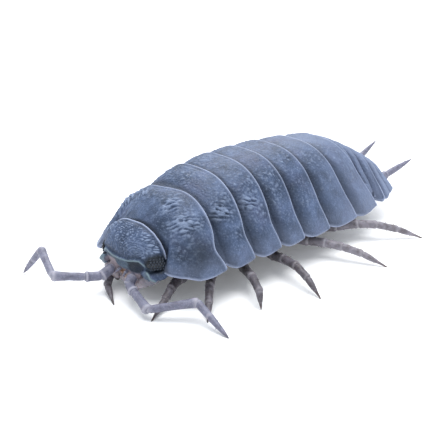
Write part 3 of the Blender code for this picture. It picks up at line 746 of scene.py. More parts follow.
def core_ring(y, width, ridge, low):
    """One cut of the body core: an arch above and a stepped belly below."""
    fade = ease(y, *CORE_FADE)
    ridge = ridge - CORE_FADE_FALLS * fade
    width = width * (1.0 - CORE_FADE_NARROWS * fade)
    t = np.sin(0.5 * np.pi * np.linspace(0.0, 1.0, CORE_SIDES))
    belly = BELLY + BELLY_FADE_RISES * fade
    step = BELLY_STEP * (0.5 + 0.5 * math.cos(2.0 * math.pi * y / BELLY_STEP_SPACING))
    under = [(share * width, low - drop + step * up) for share, drop, up in BELLY_SIDE]
    under += [(share * width, belly - drop + step * up) for share, drop, up in BELLY_FLAT]
    above = np.stack((width * t, low + (ridge - low) * (1.0 - t ** 3)), -1)
    half = np.concatenate((above, under))
    other = half[:0:-1] * (-1.0, 1.0)
    ring = np.concatenate((half, ((0.0, belly + step),), other))
    return np.stack((ring[:, 0], np.full(len(ring), y), ring[:, 1]), -1)


def body_core(material):
    """The softer body inside the plates, with its flat underside."""
    rows = np.array(CORE_FRONT + tuple(row[:4] for row in TRUNK + ABDOMEN))
    y = np.linspace(rows[0, 0], rows[-1, 0] + CORE_BEHIND, CORE_RINGS)
    width, ridge, low = (np.interp(y, rows[:, 0], rows[:, i]) for i in (1, 2, 3))
    sizes = zip(y, width * CORE_WIDTH, ridge - CORE_BELOW_RIDGE, low + CORE_ABOVE_EDGE)
    rings = [core_ring(*size) for size in sizes]
    build = Build()
    build.add(*closed_stack(rings))
    build.piece("underside", material, "leg_brown")


# Limbs

LEG_RADIUS = 0.255
LEG_TAPER = 0.085
LEG_TOP = 1.12
LEG_STUB_RADII = (0.36, 0.33, 0.27, 0.10)
LEG_STUB_END = (0, 0, 0.10)
CLAW_RADIUS = 0.165
CLAW_TIP_RADIUS = 0.022
CLAW_PLACES = (0.0, 0.10, 0.3, 0.58, 0.63, 0.80, 0.98)
CLAW_SHARES = (0.72, 0.92, 0.84, 0.56, 0.44, 0.30)
CLAW_JOINT = (0.61, 0.03, 0.7)
FLOOR_GAP = 0.004
SINK_START = 0.35
SINK_END = 0.45
JOINT_WIDTH = 0.07
BRISTLE_RADIUS = 0.020
BRISTLE_FLOOR_GAP = 0.02
FEELER_RADII = ((0.24, 0.23), (0.20, 0.22), (0.185, 0.215), (0.175, 0.195))
FEELER_SWELL = 1.10
WHIP_RADIUS = 0.165
WHIP_PLACES = (-0.04, 0.0, 0.04, 0.10, 0.36, 0.385, 0.40, 0.44, 0.80, 0.93, 0.985)
WHIP_SHARES = (0.6, 0.9, 1.00, 1.00, 0.96, 0.88, 0.89, 0.93, 0.56, 0.28, 0.08)
WHIP_JOINT = 0.385
WHIP_FLOOR_GAP = 0.006
UROPOD_ROOT = (1.34, 14.24, 1.62)
UROPOD_KNEES = ((1.28, 15.00, 1.60), (-1.06, 15.25, 1.66))
UROPOD_INNER_TIP = (0.62, 16.20, 1.22)
UROPOD_STALK = 0.23
UROPOD_OUTER = 0.185
UROPOD_INNER = 0.15
BRANCH_PLACES = (-0.06, 0.0, 0.05, 0.25, 0.50, 0.80, 0.93, 0.985)
BRANCH_SHARES = (0.4, 0.75, 0.95, 1.0, 0.86, 0.46, 0.22, 0.06)


def limb_frame(axis):
    """Two directions square to an axis, the second as upright as it can be."""
    across = np.cross(axis, (0.0, 0.0, 1.0))
    if np.linalg.norm(across) < 0.05:
        across = np.array((1.0, 0.0, 0.0))
    across = across / np.linalg.norm(across)
    return across, np.cross(across, axis)


def stretch_frame(start, end):
    """A stretch's start, its span, its length and its direction."""
    start = np.asarray(start, float)
    span = np.asarray(end, float) - start
    length = np.linalg.norm(span)
    return start, span, length, span / length


class Build:
    """Collects the points and faces of one piece made of several closed forms."""

    def __init__(self):
        self.points, self.faces, self.values, self.count = [], [], {}, 0

    def add(self, points, faces, **values):
        """Add one closed form: its points, groups of faces and values for its points."""
        points = np.asarray(points, float)
        for group in faces:
            self.faces.extend((np.asarray(group) + self.count).tolist())
        self.points.append(points)
        for key, numbers in values.items():
            self.values.setdefault(key, []).append(
                np.broadcast_to(np.asarray(numbers, float), (len(points),)))
        self.count += len(points)

    def piece(self, name, material, slot, nodes=()):
        """Make one piece of everything added so far."""
        values = {key: np.concatenate(parts) for key, parts in self.values.items()}
        make_piece(name, np.concatenate(self.points), self.faces, material, nodes, values)


def tube(build, centres, radii, sides=20, flatten=1.0, joint=0.0, tip=0.0):
    """A closed tube along centres, its rings square to the way it runs."""
    centres = np.asarray(centres, float)
    steps = len(centres)
    axes = np.gradient(centres, axis=0)
    axes = axes / np.linalg.norm(axes, axis=1, keepdims=True)
    angles = 2.0 * np.pi * (np.arange(sides) + 0.5) / sides
    rings = []
    for centre, axis, radius in zip(centres, axes, radii):
        across, over = limb_frame(axis)
        rings.append(centre + radius * (
            np.cos(angles)[:, None] * across * flatten + np.sin(angles)[:, None] * over))
    shares = {}
    for key, numbers in (("joint", joint), ("tip", tip)):
        numbers = np.broadcast_to(np.asarray(numbers, float), (steps,))
        shares[key] = np.concatenate((np.repeat(numbers, sides), numbers[:1], numbers[-1:]))
    build.add(*closed_stack(rings, (centres[0], centres[-1])), **shares)


def spine(build, root, out, length):
    """One short stiff bristle."""
    out = out / np.linalg.norm(out)
    radius = BRISTLE_RADIUS
    centres = [root - out * radius, root + out * 0.35 * length, root + out * length]
    if centres[-1][2] < BRISTLE_FLOOR_GAP:
        return
    tube(build, centres, (radius, 0.7 * radius, 0.12 * radius), 5, tip=0.25)


def bristle_row(build, start, end, radius, count, seed, length=0.13, under=True, spread=0.5):
    """Short stiff bristles along the lower or the upper side of a stretch."""
    rng = np.random.default_rng(seed)
    start, span, _, axis = stretch_frame(start, end)
    across, over = limb_frame(axis)
    side = -1.0 if under else 1.0
    for i in range(count):
        f = (i + 0.6 + 0.3 * rng.random()) / (count + 0.4)
        turn = (rng.random() - 0.5) * 2.0 * spread
        out = side * over * math.cos(turn) + across * math.sin(turn)
        root = start + span * f + out * radius * 0.82
        spine(build, root, out + axis * 0.9, length * (0.7 + 0.6 * rng.random()))


def article(build, start, end, r0, r1, waist=0.86, sides=20, swell=1.06):
    """One stretch of a limb: narrow where it begins, swollen where it ends."""
    start, span, length, _ = stretch_frame(start, end)
    before, beyond = SINK_START * r0 / length, SINK_END * r1 / length
    f = np.concatenate((
        np.linspace(-before, 0.16, 7), np.linspace(0.22, 0.86, 14),
        np.linspace(0.90, 1.0 + beyond, 8)))
    places = (-before, 0.0, 0.08, 0.20, 0.50, 0.84, 0.95, 1.0, 1.0 + 0.6 * beyond, 1.0 + beyond)
    shares = (0.55, 0.74, 0.88, 0.96, waist + 0.04, 0.99, swell, 1.0, 0.80, 0.30)
    radius = (r0 + (r1 - r0) * f) * np.interp(f, places, shares)
    joint = bell(f, 0.0, JOINT_WIDTH) + bell(f, 1.0, JOINT_WIDTH)
    tube(build, start + f[:, None] * span, radius, sides, joint=np.clip(joint, 0, 1))


def claw(build, start, end):
    """The last stretch, tapering to a small foot on the floor."""
    start, span, length, _ = stretch_frame(start, end)
    before = SINK_START * CLAW_RADIUS / length
    f = np.concatenate((np.linspace(-before, 0.14, 6), np.linspace(0.2, 0.98, 20)))
    shares = (0.5,) + CLAW_SHARES + (CLAW_TIP_RADIUS / CLAW_RADIUS,)
    radius = CLAW_RADIUS * np.interp(f, (-before,) + CLAW_PLACES, shares)
    centres = start + f[:, None] * span
    level = math.sqrt(max(0.0, 1.0 - (span[2] / length) ** 2))
    centres[:, 2] = np.maximum(centres[:, 2], FLOOR_GAP + radius * 0.9 * level)
    at, width, share = CLAW_JOINT
    joint = bell(f, 0.0, JOINT_WIDTH) + share * bell(f, at, width)
    tube(build, centres, radius, 18, joint=np.clip(joint, 0, 1), tip=ease(f, 0.60, 0.95))


def leg_joints(side, root_y, tip, middle, bow):
    """The places of a leg's joints, from its root to its tip on the floor."""
    root = np.array((side * LEG_ROOT_X, root_y, LEG_ROOT_Z))
    tip = np.array((tip[0], tip[1], 0.0))
    reach = tip - root
    aside = np.array((reach[1], -reach[0], 0.0))
    aside = aside / np.linalg.norm(aside) * bow
    joints = [root]
    for share, height in middle:
        joint = root + reach * share + aside * math.sin(math.pi * share)
        joint[2] = height
        joints.append(joint)
    return joints + [tip]


def leg_piece(name, joints, material, seed):
    """A walking leg with its bristles."""
    build = Build()
    root = joints[0]
    top = np.array((root[0], root[1], LEG_TOP))
    tube(build, [top, root * 0.5 + top * 0.5, root, root - LEG_STUB_END],
         LEG_STUB_RADII, 18, joint=(0.6, 0.3, 0.5, 0.5))
    last = len(joints) - 2
    for i in range(last):
        start, end = joints[i], joints[i + 1]
        r0 = LEG_RADIUS - LEG_TAPER * i / last
        r1 = LEG_RADIUS - LEG_TAPER * (i + 1) / last
        article(build, start, end, r0, r1)
        if i > 0:
            bristle_row(build, start, end, r1, 5, seed + i)
            bristle_row(build, start, end, r1, 2, seed + 40 + i, 0.16, False, 0.9)
    claw(build, joints[-2], joints[-1])
    reach = joints[-2] + (joints[-1] - joints[-2]) * 0.55
    bristle_row(build, joints[-2], reach, 0.11, 5, seed + 90, 0.11)
    build.piece(name + "_dressed", material, "leg_brown", (name,))


def build_legs(front_material, rear_material):
    """Seven pairs of legs, the rear ones a little paler."""
    sides = (("left", 1, LEFT_TIPS, LEFT_JOINTS, 100), ("right", -1, RIGHT_TIPS, RIGHT_JOINTS, 200))
    for i, root_y in enumerate(LEG_ROOT_Y):
        material = front_material if i < 4 else rear_material
        for word, side, tips, middles, seed in sides:
            bow = FRONT_RIGHT_BOW if i == 0 and side < 0 else 0.0
            joints = leg_joints(side, root_y, tips[i], middles[i], bow)
            leg_piece("leg_%d_%s" % (i + 1, word), joints, material, seed + i)


def antenna_piece(name, joints, material, seed):
    """A feeler: short stretches at the base, two long ones and a two-part whip."""
    joints = [np.array(j, float) for j in joints]
    build = Build()
    for i, (r0, r1) in enumerate(FEELER_RADII):
        start, end = joints[i], joints[i + 1]
        waist = 0.84 if i > 1 else 0.9
        article(build, start, end, r0, r1, waist, sides=24, swell=FEELER_SWELL)
        bristle_row(build, start, end, r1, 3 + 2 * i, seed + i, 0.07, False, 2.6)
    start, end = joints[-2], joints[-1]
    f = np.concatenate((np.linspace(-0.04, 0.06, 6), np.linspace(0.09, 0.985, 30)))
    radius = WHIP_RADIUS * np.interp(f, WHIP_PLACES, WHIP_SHARES)
    centres = start + f[:, None] * (end - start)
    centres[:, 2] = np.maximum(centres[:, 2], WHIP_FLOOR_GAP + radius * 0.95)
    joint = bell(f, 0.0, 0.04) + bell(f, WHIP_JOINT, 0.02)
    tube(build, centres, radius, 20, joint=np.clip(joint, 0, 1), tip=0.5 * ease(f, 0.75, 0.97))
    bristle_row(build, start, start + 0.8 * (end - start), 0.15, 9, seed + 60, 0.06, False, 2.6)
    build.piece(name + "_dressed", material, "feeler_grey", (name,))


def uropod_piece(name, side, tip, material, seed):
    """A tail feeler: a stalk, a spear-shaped outer branch and a thin inner one."""
    mirror = np.array((side, 1.0, 1.0))
    knee = np.array(UROPOD_KNEES[0 if side > 0 else 1])
    branches = ((np.array(tip), UROPOD_OUTER, 1), (mirror * UROPOD_INNER_TIP, UROPOD_INNER, 0))
    build = Build()
    article(build, mirror * UROPOD_ROOT, knee, UROPOD_STALK, UROPOD_STALK)
    for end, size, extra in branches:
        f = np.concatenate((np.linspace(-0.06, 0.06, 6), np.linspace(0.1, 0.985, 24)))
        radius = size * np.interp(f, BRANCH_PLACES, BRANCH_SHARES)
        tube(build, knee + f[:, None] * (end - knee), radius, 20, 0.9,
             joint=bell(f, 0.0, 0.05), tip=0.35 * ease(f, 0.8, 0.98))
        bristle_row(build, knee, knee + 0.9 * (end - knee), size * 0.7, 9, seed + extra,
                    0.09, True, 3.0)
    build.piece(name + "_dressed", material, "feeler_grey", (name,))


# Head

HEAD_BACK = -SEAM + 0.06
HEAD_SQUARENESS = 0.8
HEAD_LEVELS = 70
HEAD_FRONT_POINTS = 60
HEAD_BACK_POINTS = 28
RIGHT_SIDE_FROM = 0.9
RIGHT_SIDE_SQUEEZE = 0.14
VOXEL = 0.024

# The raised line across the face, from the middle to the tip of the side lobe
FRONTAL_LINE = (
    (0.00, -1.01, 1.66), (0.47, -1.00, 1.69), (0.79, -0.95, 1.77), (1.03, -0.90, 1.80),
    (1.25, -0.85, 1.66), (1.42, -0.88, 1.40), (1.62, -0.88, 1.17), (1.80, -0.74, 1.02),
)
# The side lobe under the eye, from the face round to the cheek: place and radius
LOBE_CHAIN = (
    (1.22, -0.80, 1.30, 0.19), (1.36, -0.76, 1.22, 0.22), (1.50, -0.68, 1.14, 0.25),
    (1.58, -0.66, 1.06, 0.20), (1.62, -0.54, 1.16, 0.25), (1.72, -0.40, 1.22, 0.23),
    (1.80, -0.26, 1.30, 0.20), (1.58, -0.72, 0.98, 0.12),
)
LOBE_FLATTENING = 0.92
FEELER_SOCKET = ((0.62, -0.78, 1.10), (0.34, 0.18, 0.26))
MIDDLE_LOBE = ((0.0, -0.80, 1.42), (0.62, 0.22, 0.26))
# The jaw from under the side lobe down to its tip: place and radii of its lumps
JAW_CHAIN = (
    (1.52, -0.62, 1.06, 0.26, 0.22, 0.15), (1.26, -0.64, 0.90, 0.28, 0.24, 0.18),
    (1.00, -0.66, 0.76, 0.26, 0.24, 0.19), (0.82, -0.68, 0.62, 0.20, 0.20, 0.18),
    (0.72, -0.70, 0.48, 0.13, 0.14, 0.12), (0.67, -0.72, 0.40, 0.08, 0.09, 0.08),
)

# Ridges and grooves of the head: place, width, height
LINE_RIDGE = (0.0, 0.050, 0.050)
LINE_GROOVE_ABOVE = (0.15, 0.08, -0.045)
LINE_GROOVE_BELOW = (0.16, 0.10, -0.060)
HEAD_RIM = (0.04, 0.032, 0.035)
HEAD_RIM_GROOVE = (0.16, 0.06, -0.030)

# The whorl of rings on either side of the brow
WHORL_MIDDLE = (0.80, -0.88, 2.15)
WHORL_LEVEL = np.array((0.95, 0.31, 0.0)) / 1.75
WHORL_UP = np.array((-0.19, 0.57, 0.80)) / 0.95
WHORL_SPACING = 0.100
WHORL_WARP = 0.15
WHORL_WARP_SIZE = 0.20
WHORL_EDGE = (0.60, 0.30)
WHORL_HEIGHT = 0.052
WHORL_SHARE = 0.46
WHORL_RIGHT_SHARE = 0.55

# The dashes above the eye and the plain cobbles between them
DASH_MIDDLE = (1.26, -0.42, 2.44)
DASH_REACH = (0.52, 0.50, 0.46)
DASH_LENGTH = 0.30
DASH_WIDTH = 0.105
DASH_HEIGHT = 0.066
COBBLE_SIZE = 0.118
COBBLE_HEIGHT = 0.050
HEAD_GROOVE = 0.42
HEAD_WARP = 0.09
HEAD_WARP_SIZE = 0.22
HEAD_SWELL = (0.45, 0.030)
HEAD_GRIT = (0.10, 0.010)

EYE_MIDDLE = (1.66, -0.52, 1.73)
EYE_OUT = (0.84, -0.50, 0.20)
EYE_SINK = 0.07
EYE_RADII = (0.41, 0.29, 0.12)
EYE_TOP_REACH = 0.30
EYE_SHADE = (0.68, 0.36)
LENS_SPACING = (0.118, 0.103)
LENS_RADII = (0.056, 0.056, 0.044)
LENS_SINK = 0.010
LENS_ROWS = (5, 5, 6, 5, 5)
LENS_LIMIT = 0.08


def turn_points(points):
    """Swing points of the head to the animal's left, and narrow its far side a little."""
    points = np.array(points, float)
    past = np.clip(-RIGHT_SIDE_FROM - points[:, 0], 0.0, None)
    points[:, 0] += RIGHT_SIDE_SQUEEZE * past
    points[:, 1] += HEAD_TURN * points[:, 0]
    return points


def ball(centre, radii, rounds=28, layers=20, tilt=0.0):
    """Points and faces of a closed egg shape, tilted about the length axis."""
    a = 2.0 * np.pi * np.arange(rounds) / rounds
    e = np.pi * (np.arange(1, layers) / layers - 0.5)
    A, E = np.meshgrid(a, e)
    rings = np.stack((np.cos(E) * np.cos(A), np.cos(E) * np.sin(A), np.sin(E)), -1)
    points, faces = closed_stack(rings, ((0.0, 0.0, -1.0), (0.0, 0.0, 1.0)))
    points = points * np.array(radii)
    c, s = math.cos(tilt), math.sin(tilt)
    x = points[:, 0] * c + points[:, 2] * s
    z = -points[:, 0] * s + points[:, 2] * c
    return np.stack((x, points[:, 1], z), -1) + np.array(centre), faces


def cranium():
    """The head capsule as a stack of level cuts, flat at the back."""
    cuts = np.array(HEAD_CUTS)[::-1]
    levels = np.linspace(cuts[0, 0], cuts[-1, 0], HEAD_LEVELS)
    width = np.interp(levels, cuts[:, 0], cuts[:, 1])
    reach = np.interp(levels, cuts[:, 0], cuts[:, 2])
    angles = np.linspace(0.0, np.pi, HEAD_FRONT_POINTS)
    side = np.sign(np.cos(angles)) * np.abs(np.cos(angles)) ** HEAD_SQUARENESS
    ahead = np.clip(np.sin(angles), 0.0, 1.0) ** HEAD_SQUARENESS
    back = np.linspace(-1.0, 1.0, HEAD_BACK_POINTS + 2)[1:-1]
    across = np.concatenate((side, back))
    ahead = np.concatenate((ahead, 0.0 * back))
    rings = [np.stack((w * across, HEAD_BACK - (r + 0.06) * ahead, 0.0 * ahead + z), -1)
             for z, w, r in zip(levels, width, reach)]
    return closed_stack(rings)


def voxel_skin(forms, smoothing):
    """One closed skin round overlapping closed forms: points, faces and normals."""
    build = Build()
    for points, faces in forms:
        build.add(points, faces)
    mesh = bpy.data.meshes.new("forms")
    mesh.from_pydata(np.concatenate(build.points).tolist(), [], build.faces)
    holder = bpy.data.objects.new("forms", mesh)
    bpy.context.scene.collection.objects.link(holder)
    remesh = holder.modifiers.new("skin", "REMESH")
    remesh.mode = "VOXEL"
    remesh.voxel_size = VOXEL
    smooth = holder.modifiers.new("smooth", "SMOOTH")
    smooth.factor = 0.5
    smooth.iterations = smoothing
    graph = bpy.context.evaluated_depsgraph_get()
    skin = bpy.data.meshes.new_from_object(holder.evaluated_get(graph))
    bpy.data.objects.remove(holder)
    points = np.zeros(len(skin.vertices) * 3)
    skin.vertices.foreach_get("co", points)
    normal = np.zeros(len(skin.vertices) * 3)
    skin.vertex_normals.foreach_get("vector", normal)
    faces = [tuple(face.vertices) for face in skin.polygons]
    bpy.data.meshes.remove(skin)
    return points.reshape(-1, 3), faces, normal.reshape(-1, 3)


def distance_to_line(points, line):
    """Shortest distance to a chain of points, and how far above it a point lies."""
    line = np.array(line, float)
    best = np.full(len(points), FAR)
    above = np.zeros(len(points))
    for a, b in zip(line, line[1:]):
        along = b - a
        share = np.clip(((points - a) @ along) / (along @ along), 0.0, 1.0)
        near = a + share[:, None] * along
        gap = np.linalg.norm(points - near, axis=1)
        closer = gap < best
        best = np.where(closer, gap, best)
        above = np.where(closer, points[:, 2] - near[:, 2], above)
    return best, above


def ridge(gap, form):
    """Height of a ridge or groove along a line, at a gap from it."""
    place, width, height = form
    return height * bell(gap, place, width)


def whorl(p):
    """Broken rings round a middle on each side of the brow, and where they are."""
    away = mirrored(p) - np.array(WHORL_MIDDLE)
    level, upward = away @ WHORL_LEVEL, away @ WHORL_UP
    angle = np.arctan2(upward, level)
    radius = np.hypot(level, upward) + WHORL_WARP * cloudy(p / WHORL_WARP_SIZE, 31)
    rings = (0.5 + 0.5 * np.cos(2.0 * np.pi * (radius - 0.02) / WHORL_SPACING)) ** 1.3
    turns = np.stack((radius / WHORL_SPACING, angle * 2.2, np.full(len(p), 0.5)), -1)
    inside = ease(radius, *WHORL_EDGE)
    weight = np.where(p[:, 0] < 0.0, WHORL_RIGHT_SHARE, 1.0) * inside
    return WHORL_HEIGHT * WHORL_SHARE * (rings + cobbles(turns, 37, 0.40)) * weight, inside


def head_texture(p, back_gap):
    """Relief of the crown: whorls, dashes above the eyes and cobbles between."""
    rings, in_whorl = whorl(p)
    in_dashes = np.clip(PATCH_SWELL * patch(mirrored(p), DASH_MIDDLE, DASH_REACH), 0, 1)
    in_dashes = in_dashes * (1.0 - in_whorl)
    inside_rim = ease(back_gap, 0.10, 0.26)
    warped = mirrored(p + HEAD_WARP * (smooth_noise(p / HEAD_WARP_SIZE, 33) - 0.5)[:, None])
    dashes = DASH_HEIGHT * lumps(warped, 35, DASH_LENGTH, DASH_WIDTH, HEAD_GROOVE)
    plain = COBBLE_HEIGHT * cobbles(warped / COBBLE_SIZE, 41, HEAD_GROOVE)
    between = np.clip(1.0 - in_whorl - in_dashes, 0.0, 1.0)
    size, height = HEAD_SWELL
    return rings + (dashes * in_dashes + plain * between) * inside_rim + (
        height * cloudy(p / size, 43))


def head_values(p, sided, line_gap, top, on_top, on_back, rim, relief):
    """What the colours of the head follow: p has the relief in it, sided hasn't."""
    aside = sided[:, 0]
    line_pale = bell(line_gap, 0.0, 0.032)
    # Painted shade: dark round the eye and on the face under the frontal line.
    eye_gap = (sided - np.array(EYE_MIDDLE)) / np.array((1.0, 1.0, 0.80))
    shade = ease(np.linalg.norm(eye_gap, axis=1), *EYE_SHADE)
    flesh_top = 1.12 + 0.30 * ease(-p[:, 0], 0.0, 0.6)
    flesh = ease(p[:, 2], flesh_top + 0.12, flesh_top) * ease(aside, 1.20, 1.00)
    face = (1.0 - top) * (1.0 - flesh) * ease(p[:, 2], 1.12, 1.24) * ease(aside, 1.30, 1.05)
    facet = face * ease(-p[:, 0], -0.45, -0.30)
    shade = np.maximum(shade, 0.85 * face * (1.0 - 0.60 * facet))
    orange = flesh * ease(p[:, 0], 0.30, 0.06) * ease(p[:, 0], -0.50, -0.25)
    orange = orange * ease(p[:, 2], 1.20, 1.08)
    lobe = (1.0 - top) * ease(aside, 1.15, 1.40) * (1.0 - shade)
    lobe = lobe * (0.30 + 0.35 * ease(-p[:, 0], 0.8, 1.2))
    return {
        "pale": 0.95 * rim,
        "mint": np.clip(0.95 * line_pale + 0.22 * facet + lobe, 0.0, 1.0),
        "height": np.clip((relief - 0.012) / 0.048, -1.0, 1.0) * on_top,
        # Painted shade round the eye and under the frontal line.
        "dark": shade * (1.0 - line_pale),
        "warm": orange,
        "rose": flesh * (1.0 - orange),
        # Painted shade on the head's flat back, where it sits in the first plate.
        "tuck": on_back,
    }


def head_forms():
    """The closed forms that the head's skin is drawn over."""
    forms = [cranium()]
    for side in (1, -1):
        for x, y, z, size in LOBE_CHAIN:
            forms.append(ball((side * x, y, z), (size, size, LOBE_FLATTENING * size)))
        (x, y, z), radii = FEELER_SOCKET
        forms.append(ball((side * x, y, z), radii))
    return forms + [ball(*MIDDLE_LOBE)]


def head_piece(material):
    """The head capsule with its lobes, frontal line, folds and grains."""
    p, faces, normal = voxel_skin(head_forms(), 9)
    sided = mirrored(p)
    line_gap, over_line = distance_to_line(sided, FRONTAL_LINE)
    top = ease(over_line, -0.02, 0.06)
    back_gap = HEAD_BACK - p[:, 1]
    on_back = ease(back_gap, 0.015, 0.0)
    on_top = top * (1.0 - on_back) * ease(p[:, 2], 1.4, 1.7)
    high = ease(p[:, 2], 1.3, 1.9)
    relief = ridge(line_gap, LINE_RIDGE) + ridge(line_gap, LINE_GROOVE_ABOVE) * top
    relief += ridge(line_gap, LINE_GROOVE_BELOW) * (1.0 - top)
    relief += (ridge(back_gap, HEAD_RIM) + ridge(back_gap, HEAD_RIM_GROOVE)) * high
    relief += head_texture(p, back_gap) * on_top
    size, height = HEAD_GRIT
    relief += height * cloudy(p / size, 45, 2)
    rim = ridge(back_gap, HEAD_RIM) * high / HEAD_RIM[2]
    placed = p + normal * relief[:, None]
    values = head_values(placed, sided, line_gap, top, on_top, on_back, rim, relief)
    make_piece("head_dressed", turn_points(placed), faces, material,
               ("head",), values)


def eye_piece(name, side, material):
    """A cluster of small round lenses on a low black mound."""
    out = np.array((side * EYE_OUT[0], EYE_OUT[1], EYE_OUT[2]))
    out = out / np.linalg.norm(out)
    along = np.cross(out, (0.0, 0.0, 1.0))
    along = along / np.linalg.norm(along)
    up = np.cross(along, out)
    axes = np.stack((along, up, out))
    centre = np.array((side * EYE_MIDDLE[0], EYE_MIDDLE[1], EYE_MIDDLE[2])) - EYE_SINK * out
    build = Build()

    def place(spot, radii, rounds, layers, gloss):
        points, faces = ball((0, 0, 0), radii, rounds, layers)
        points = centre + (points + spot) @ axes
        build.add(turn_points(points), facing_out(points, faces), gloss=gloss)

    # The mound carries no painted glint, each lens a full one.
    place(np.zeros(3), EYE_RADII, 36, 18, 0.0)
    for row, count in enumerate(LENS_ROWS):
        for i in range(count):
            a = (i - 0.5 * (count - 1)) * LENS_SPACING[0]
            b = (row - 2) * LENS_SPACING[1]
            rise = 1.0 - (a / EYE_RADII[0]) ** 2 - (b / EYE_TOP_REACH) ** 2
            if rise >= LENS_LIMIT:
                height = EYE_RADII[2] * math.sqrt(rise) - LENS_SINK
                place(np.array((a, b, height)), LENS_RADII, 14, 10, 1.0)
    build.piece(name + "_dressed", material, "eye_black", (name,))


# Mouth: middle and radii of the forms under the head
MOUTH_MIDDLE = (
    ((0.0, -0.66, 0.90), (0.46, 0.22, 0.20)),
    ((0.0, -0.72, 0.72), (0.28, 0.16, 0.13)),
    ((0.0, -0.38, 0.66), (0.80, 0.32, 0.26)),
)
MOUTH_PAIRS = (
    ((0.34, -0.60, 0.52), (0.22, 0.20, 0.16), -0.4),
    ((0.36, -0.34, 0.42), (0.34, 0.28, 0.10), 0.30),
)
JAW_TILT = 0.45
CLYPEUS = ((0.0, -0.82, 0.96), (0.52, 0.30, 0.20))
JAW_TIP = ((0.66, -0.76, 0.36), (0.14, 0.16, 0.10))


def mouth_piece(material):
    """Clypeus, upper lip, jaws and the two leaf-like mouth legs under the head."""
    forms = [ball(centre, radii) for centre, radii in MOUTH_MIDDLE]
    for side in (1, -1):
        for x, y, z, wide, deep, high in JAW_CHAIN:
            forms.append(ball((side * x, y, z), (wide, deep, high), tilt=side * JAW_TILT))
        for (x, y, z), radii, tilt in MOUTH_PAIRS:
            forms.append(ball((side * x, y, z), radii, tilt=side * tilt))
    p, faces, normal = voxel_skin(forms, 5)
    aside = mirrored(p)
    split = bell(p[:, 0], 0.0, 0.02) * ease(p[:, 2], 0.70, 0.62)
    relief = 0.020 * cloudy(p / 0.22, 51) - 0.05 * split
    p = p + normal * relief[:, None]
    warm = 1.4 * patch(p, *CLYPEUS) * ease(p[:, 0], 0.28, 0.02)
    leaf = np.maximum(ease(p[:, 2], 0.50, 0.40), ease(aside[:, 0], 0.95, 1.25))
    tip = 1.3 * patch(aside, *JAW_TIP)
    values = {"warm": np.clip(warm, 0, 1), "tip": np.clip(tip, 0, 1), "leaf": leaf}
    make_piece("mouthparts_dressed", turn_points(p), faces, material,
               ("mouthparts",), values)


def small_feelers(material):
    """The pair of tiny inner feelers between the large ones."""
    build = Build()
    for side in (1, -1):
        a = np.array((side * 0.20, -0.86, 1.12))
        b = np.array((side * 0.22, -1.00, 1.06))
        c = np.array((side * 0.24, -1.08, 1.00))
        article(build, a, b, 0.075, 0.07, sides=12)
        article(build, b, c, 0.055, 0.05, sides=12)
        tube(build, [c, c + (side * 0.01, -0.05, -0.04), c + (side * 0.02, -0.09, -0.08)],
             (0.035, 0.028, 0.008), 10)
    build.points = [turn_points(part) for part in build.points]
    build.piece("antennules", material, "feeler_grey")


# Materials

SHELL_DARK = (0.026, 0.042, 0.080)
SHELL_MID = (0.092, 0.134, 0.240)
SHELL_LIGHT = (0.230, 0.292, 0.430)
SHELL_PALE = (0.400, 0.460, 0.640)
SHELL_LILAC = (0.085, 0.086, 0.165)
SHELL_UNDER = (0.16, 0.15, 0.17)
# Coats over the shell: the value they follow, where it is full, most share, colour; the first is
# painted light, the next two painted shade
SHELL_COATS = (
    ("painted_rear_light", 1.0, 0.55, (0.250, 0.300, 0.440)),
    ("tuck", 1.6, 1.0, (0.010, 0.016, 0.030)),
    ("dark", 1.0, 0.93, (0.006, 0.009, 0.012)),
    ("mint", 1.0, 0.9, (0.225, 0.310, 0.340)),
    ("warm", 1.0, 0.9, (0.190, 0.105, 0.055)),
    ("rose", 1.0, 0.9, (0.300, 0.245, 0.270)),
)
FLESH_DARK = (0.115, 0.100, 0.100)
FLESH_LIGHT = (0.260, 0.225, 0.215)
TIP_BROWN = (0.045, 0.030, 0.026)
# Colours of limbs: the main one, the darker mottling, the pale joints, their share
FEELER_COLOURS = ((0.198, 0.202, 0.280), (0.108, 0.110, 0.160), (0.460, 0.450, 0.520), 0.60)
LEG_COLOURS = ((0.138, 0.128, 0.156), (0.050, 0.041, 0.046), (0.300, 0.280, 0.310), 0.40)
REAR_LEG_COLOURS = ((0.270, 0.255, 0.300), (0.120, 0.105, 0.120), (0.400, 0.380, 0.420), 0.40)
EYE_COLOURS = ((0.002, 0.003, 0.006), (0.008, 0.012, 0.020))
# Painted highlight: the lighter colour of a glint on each lens
LENS_GLINT_COLOUR = (0.034, 0.048, 0.078)
MOUTH_COLOURS = ((0.360, 0.310, 0.345), (0.560, 0.500, 0.545))
MOUTH_LEAF = (0.240, 0.240, 0.290)
MOUTH_WARM = (0.190, 0.095, 0.045)
MOUTH_TIP = (0.030, 0.018, 0.012)


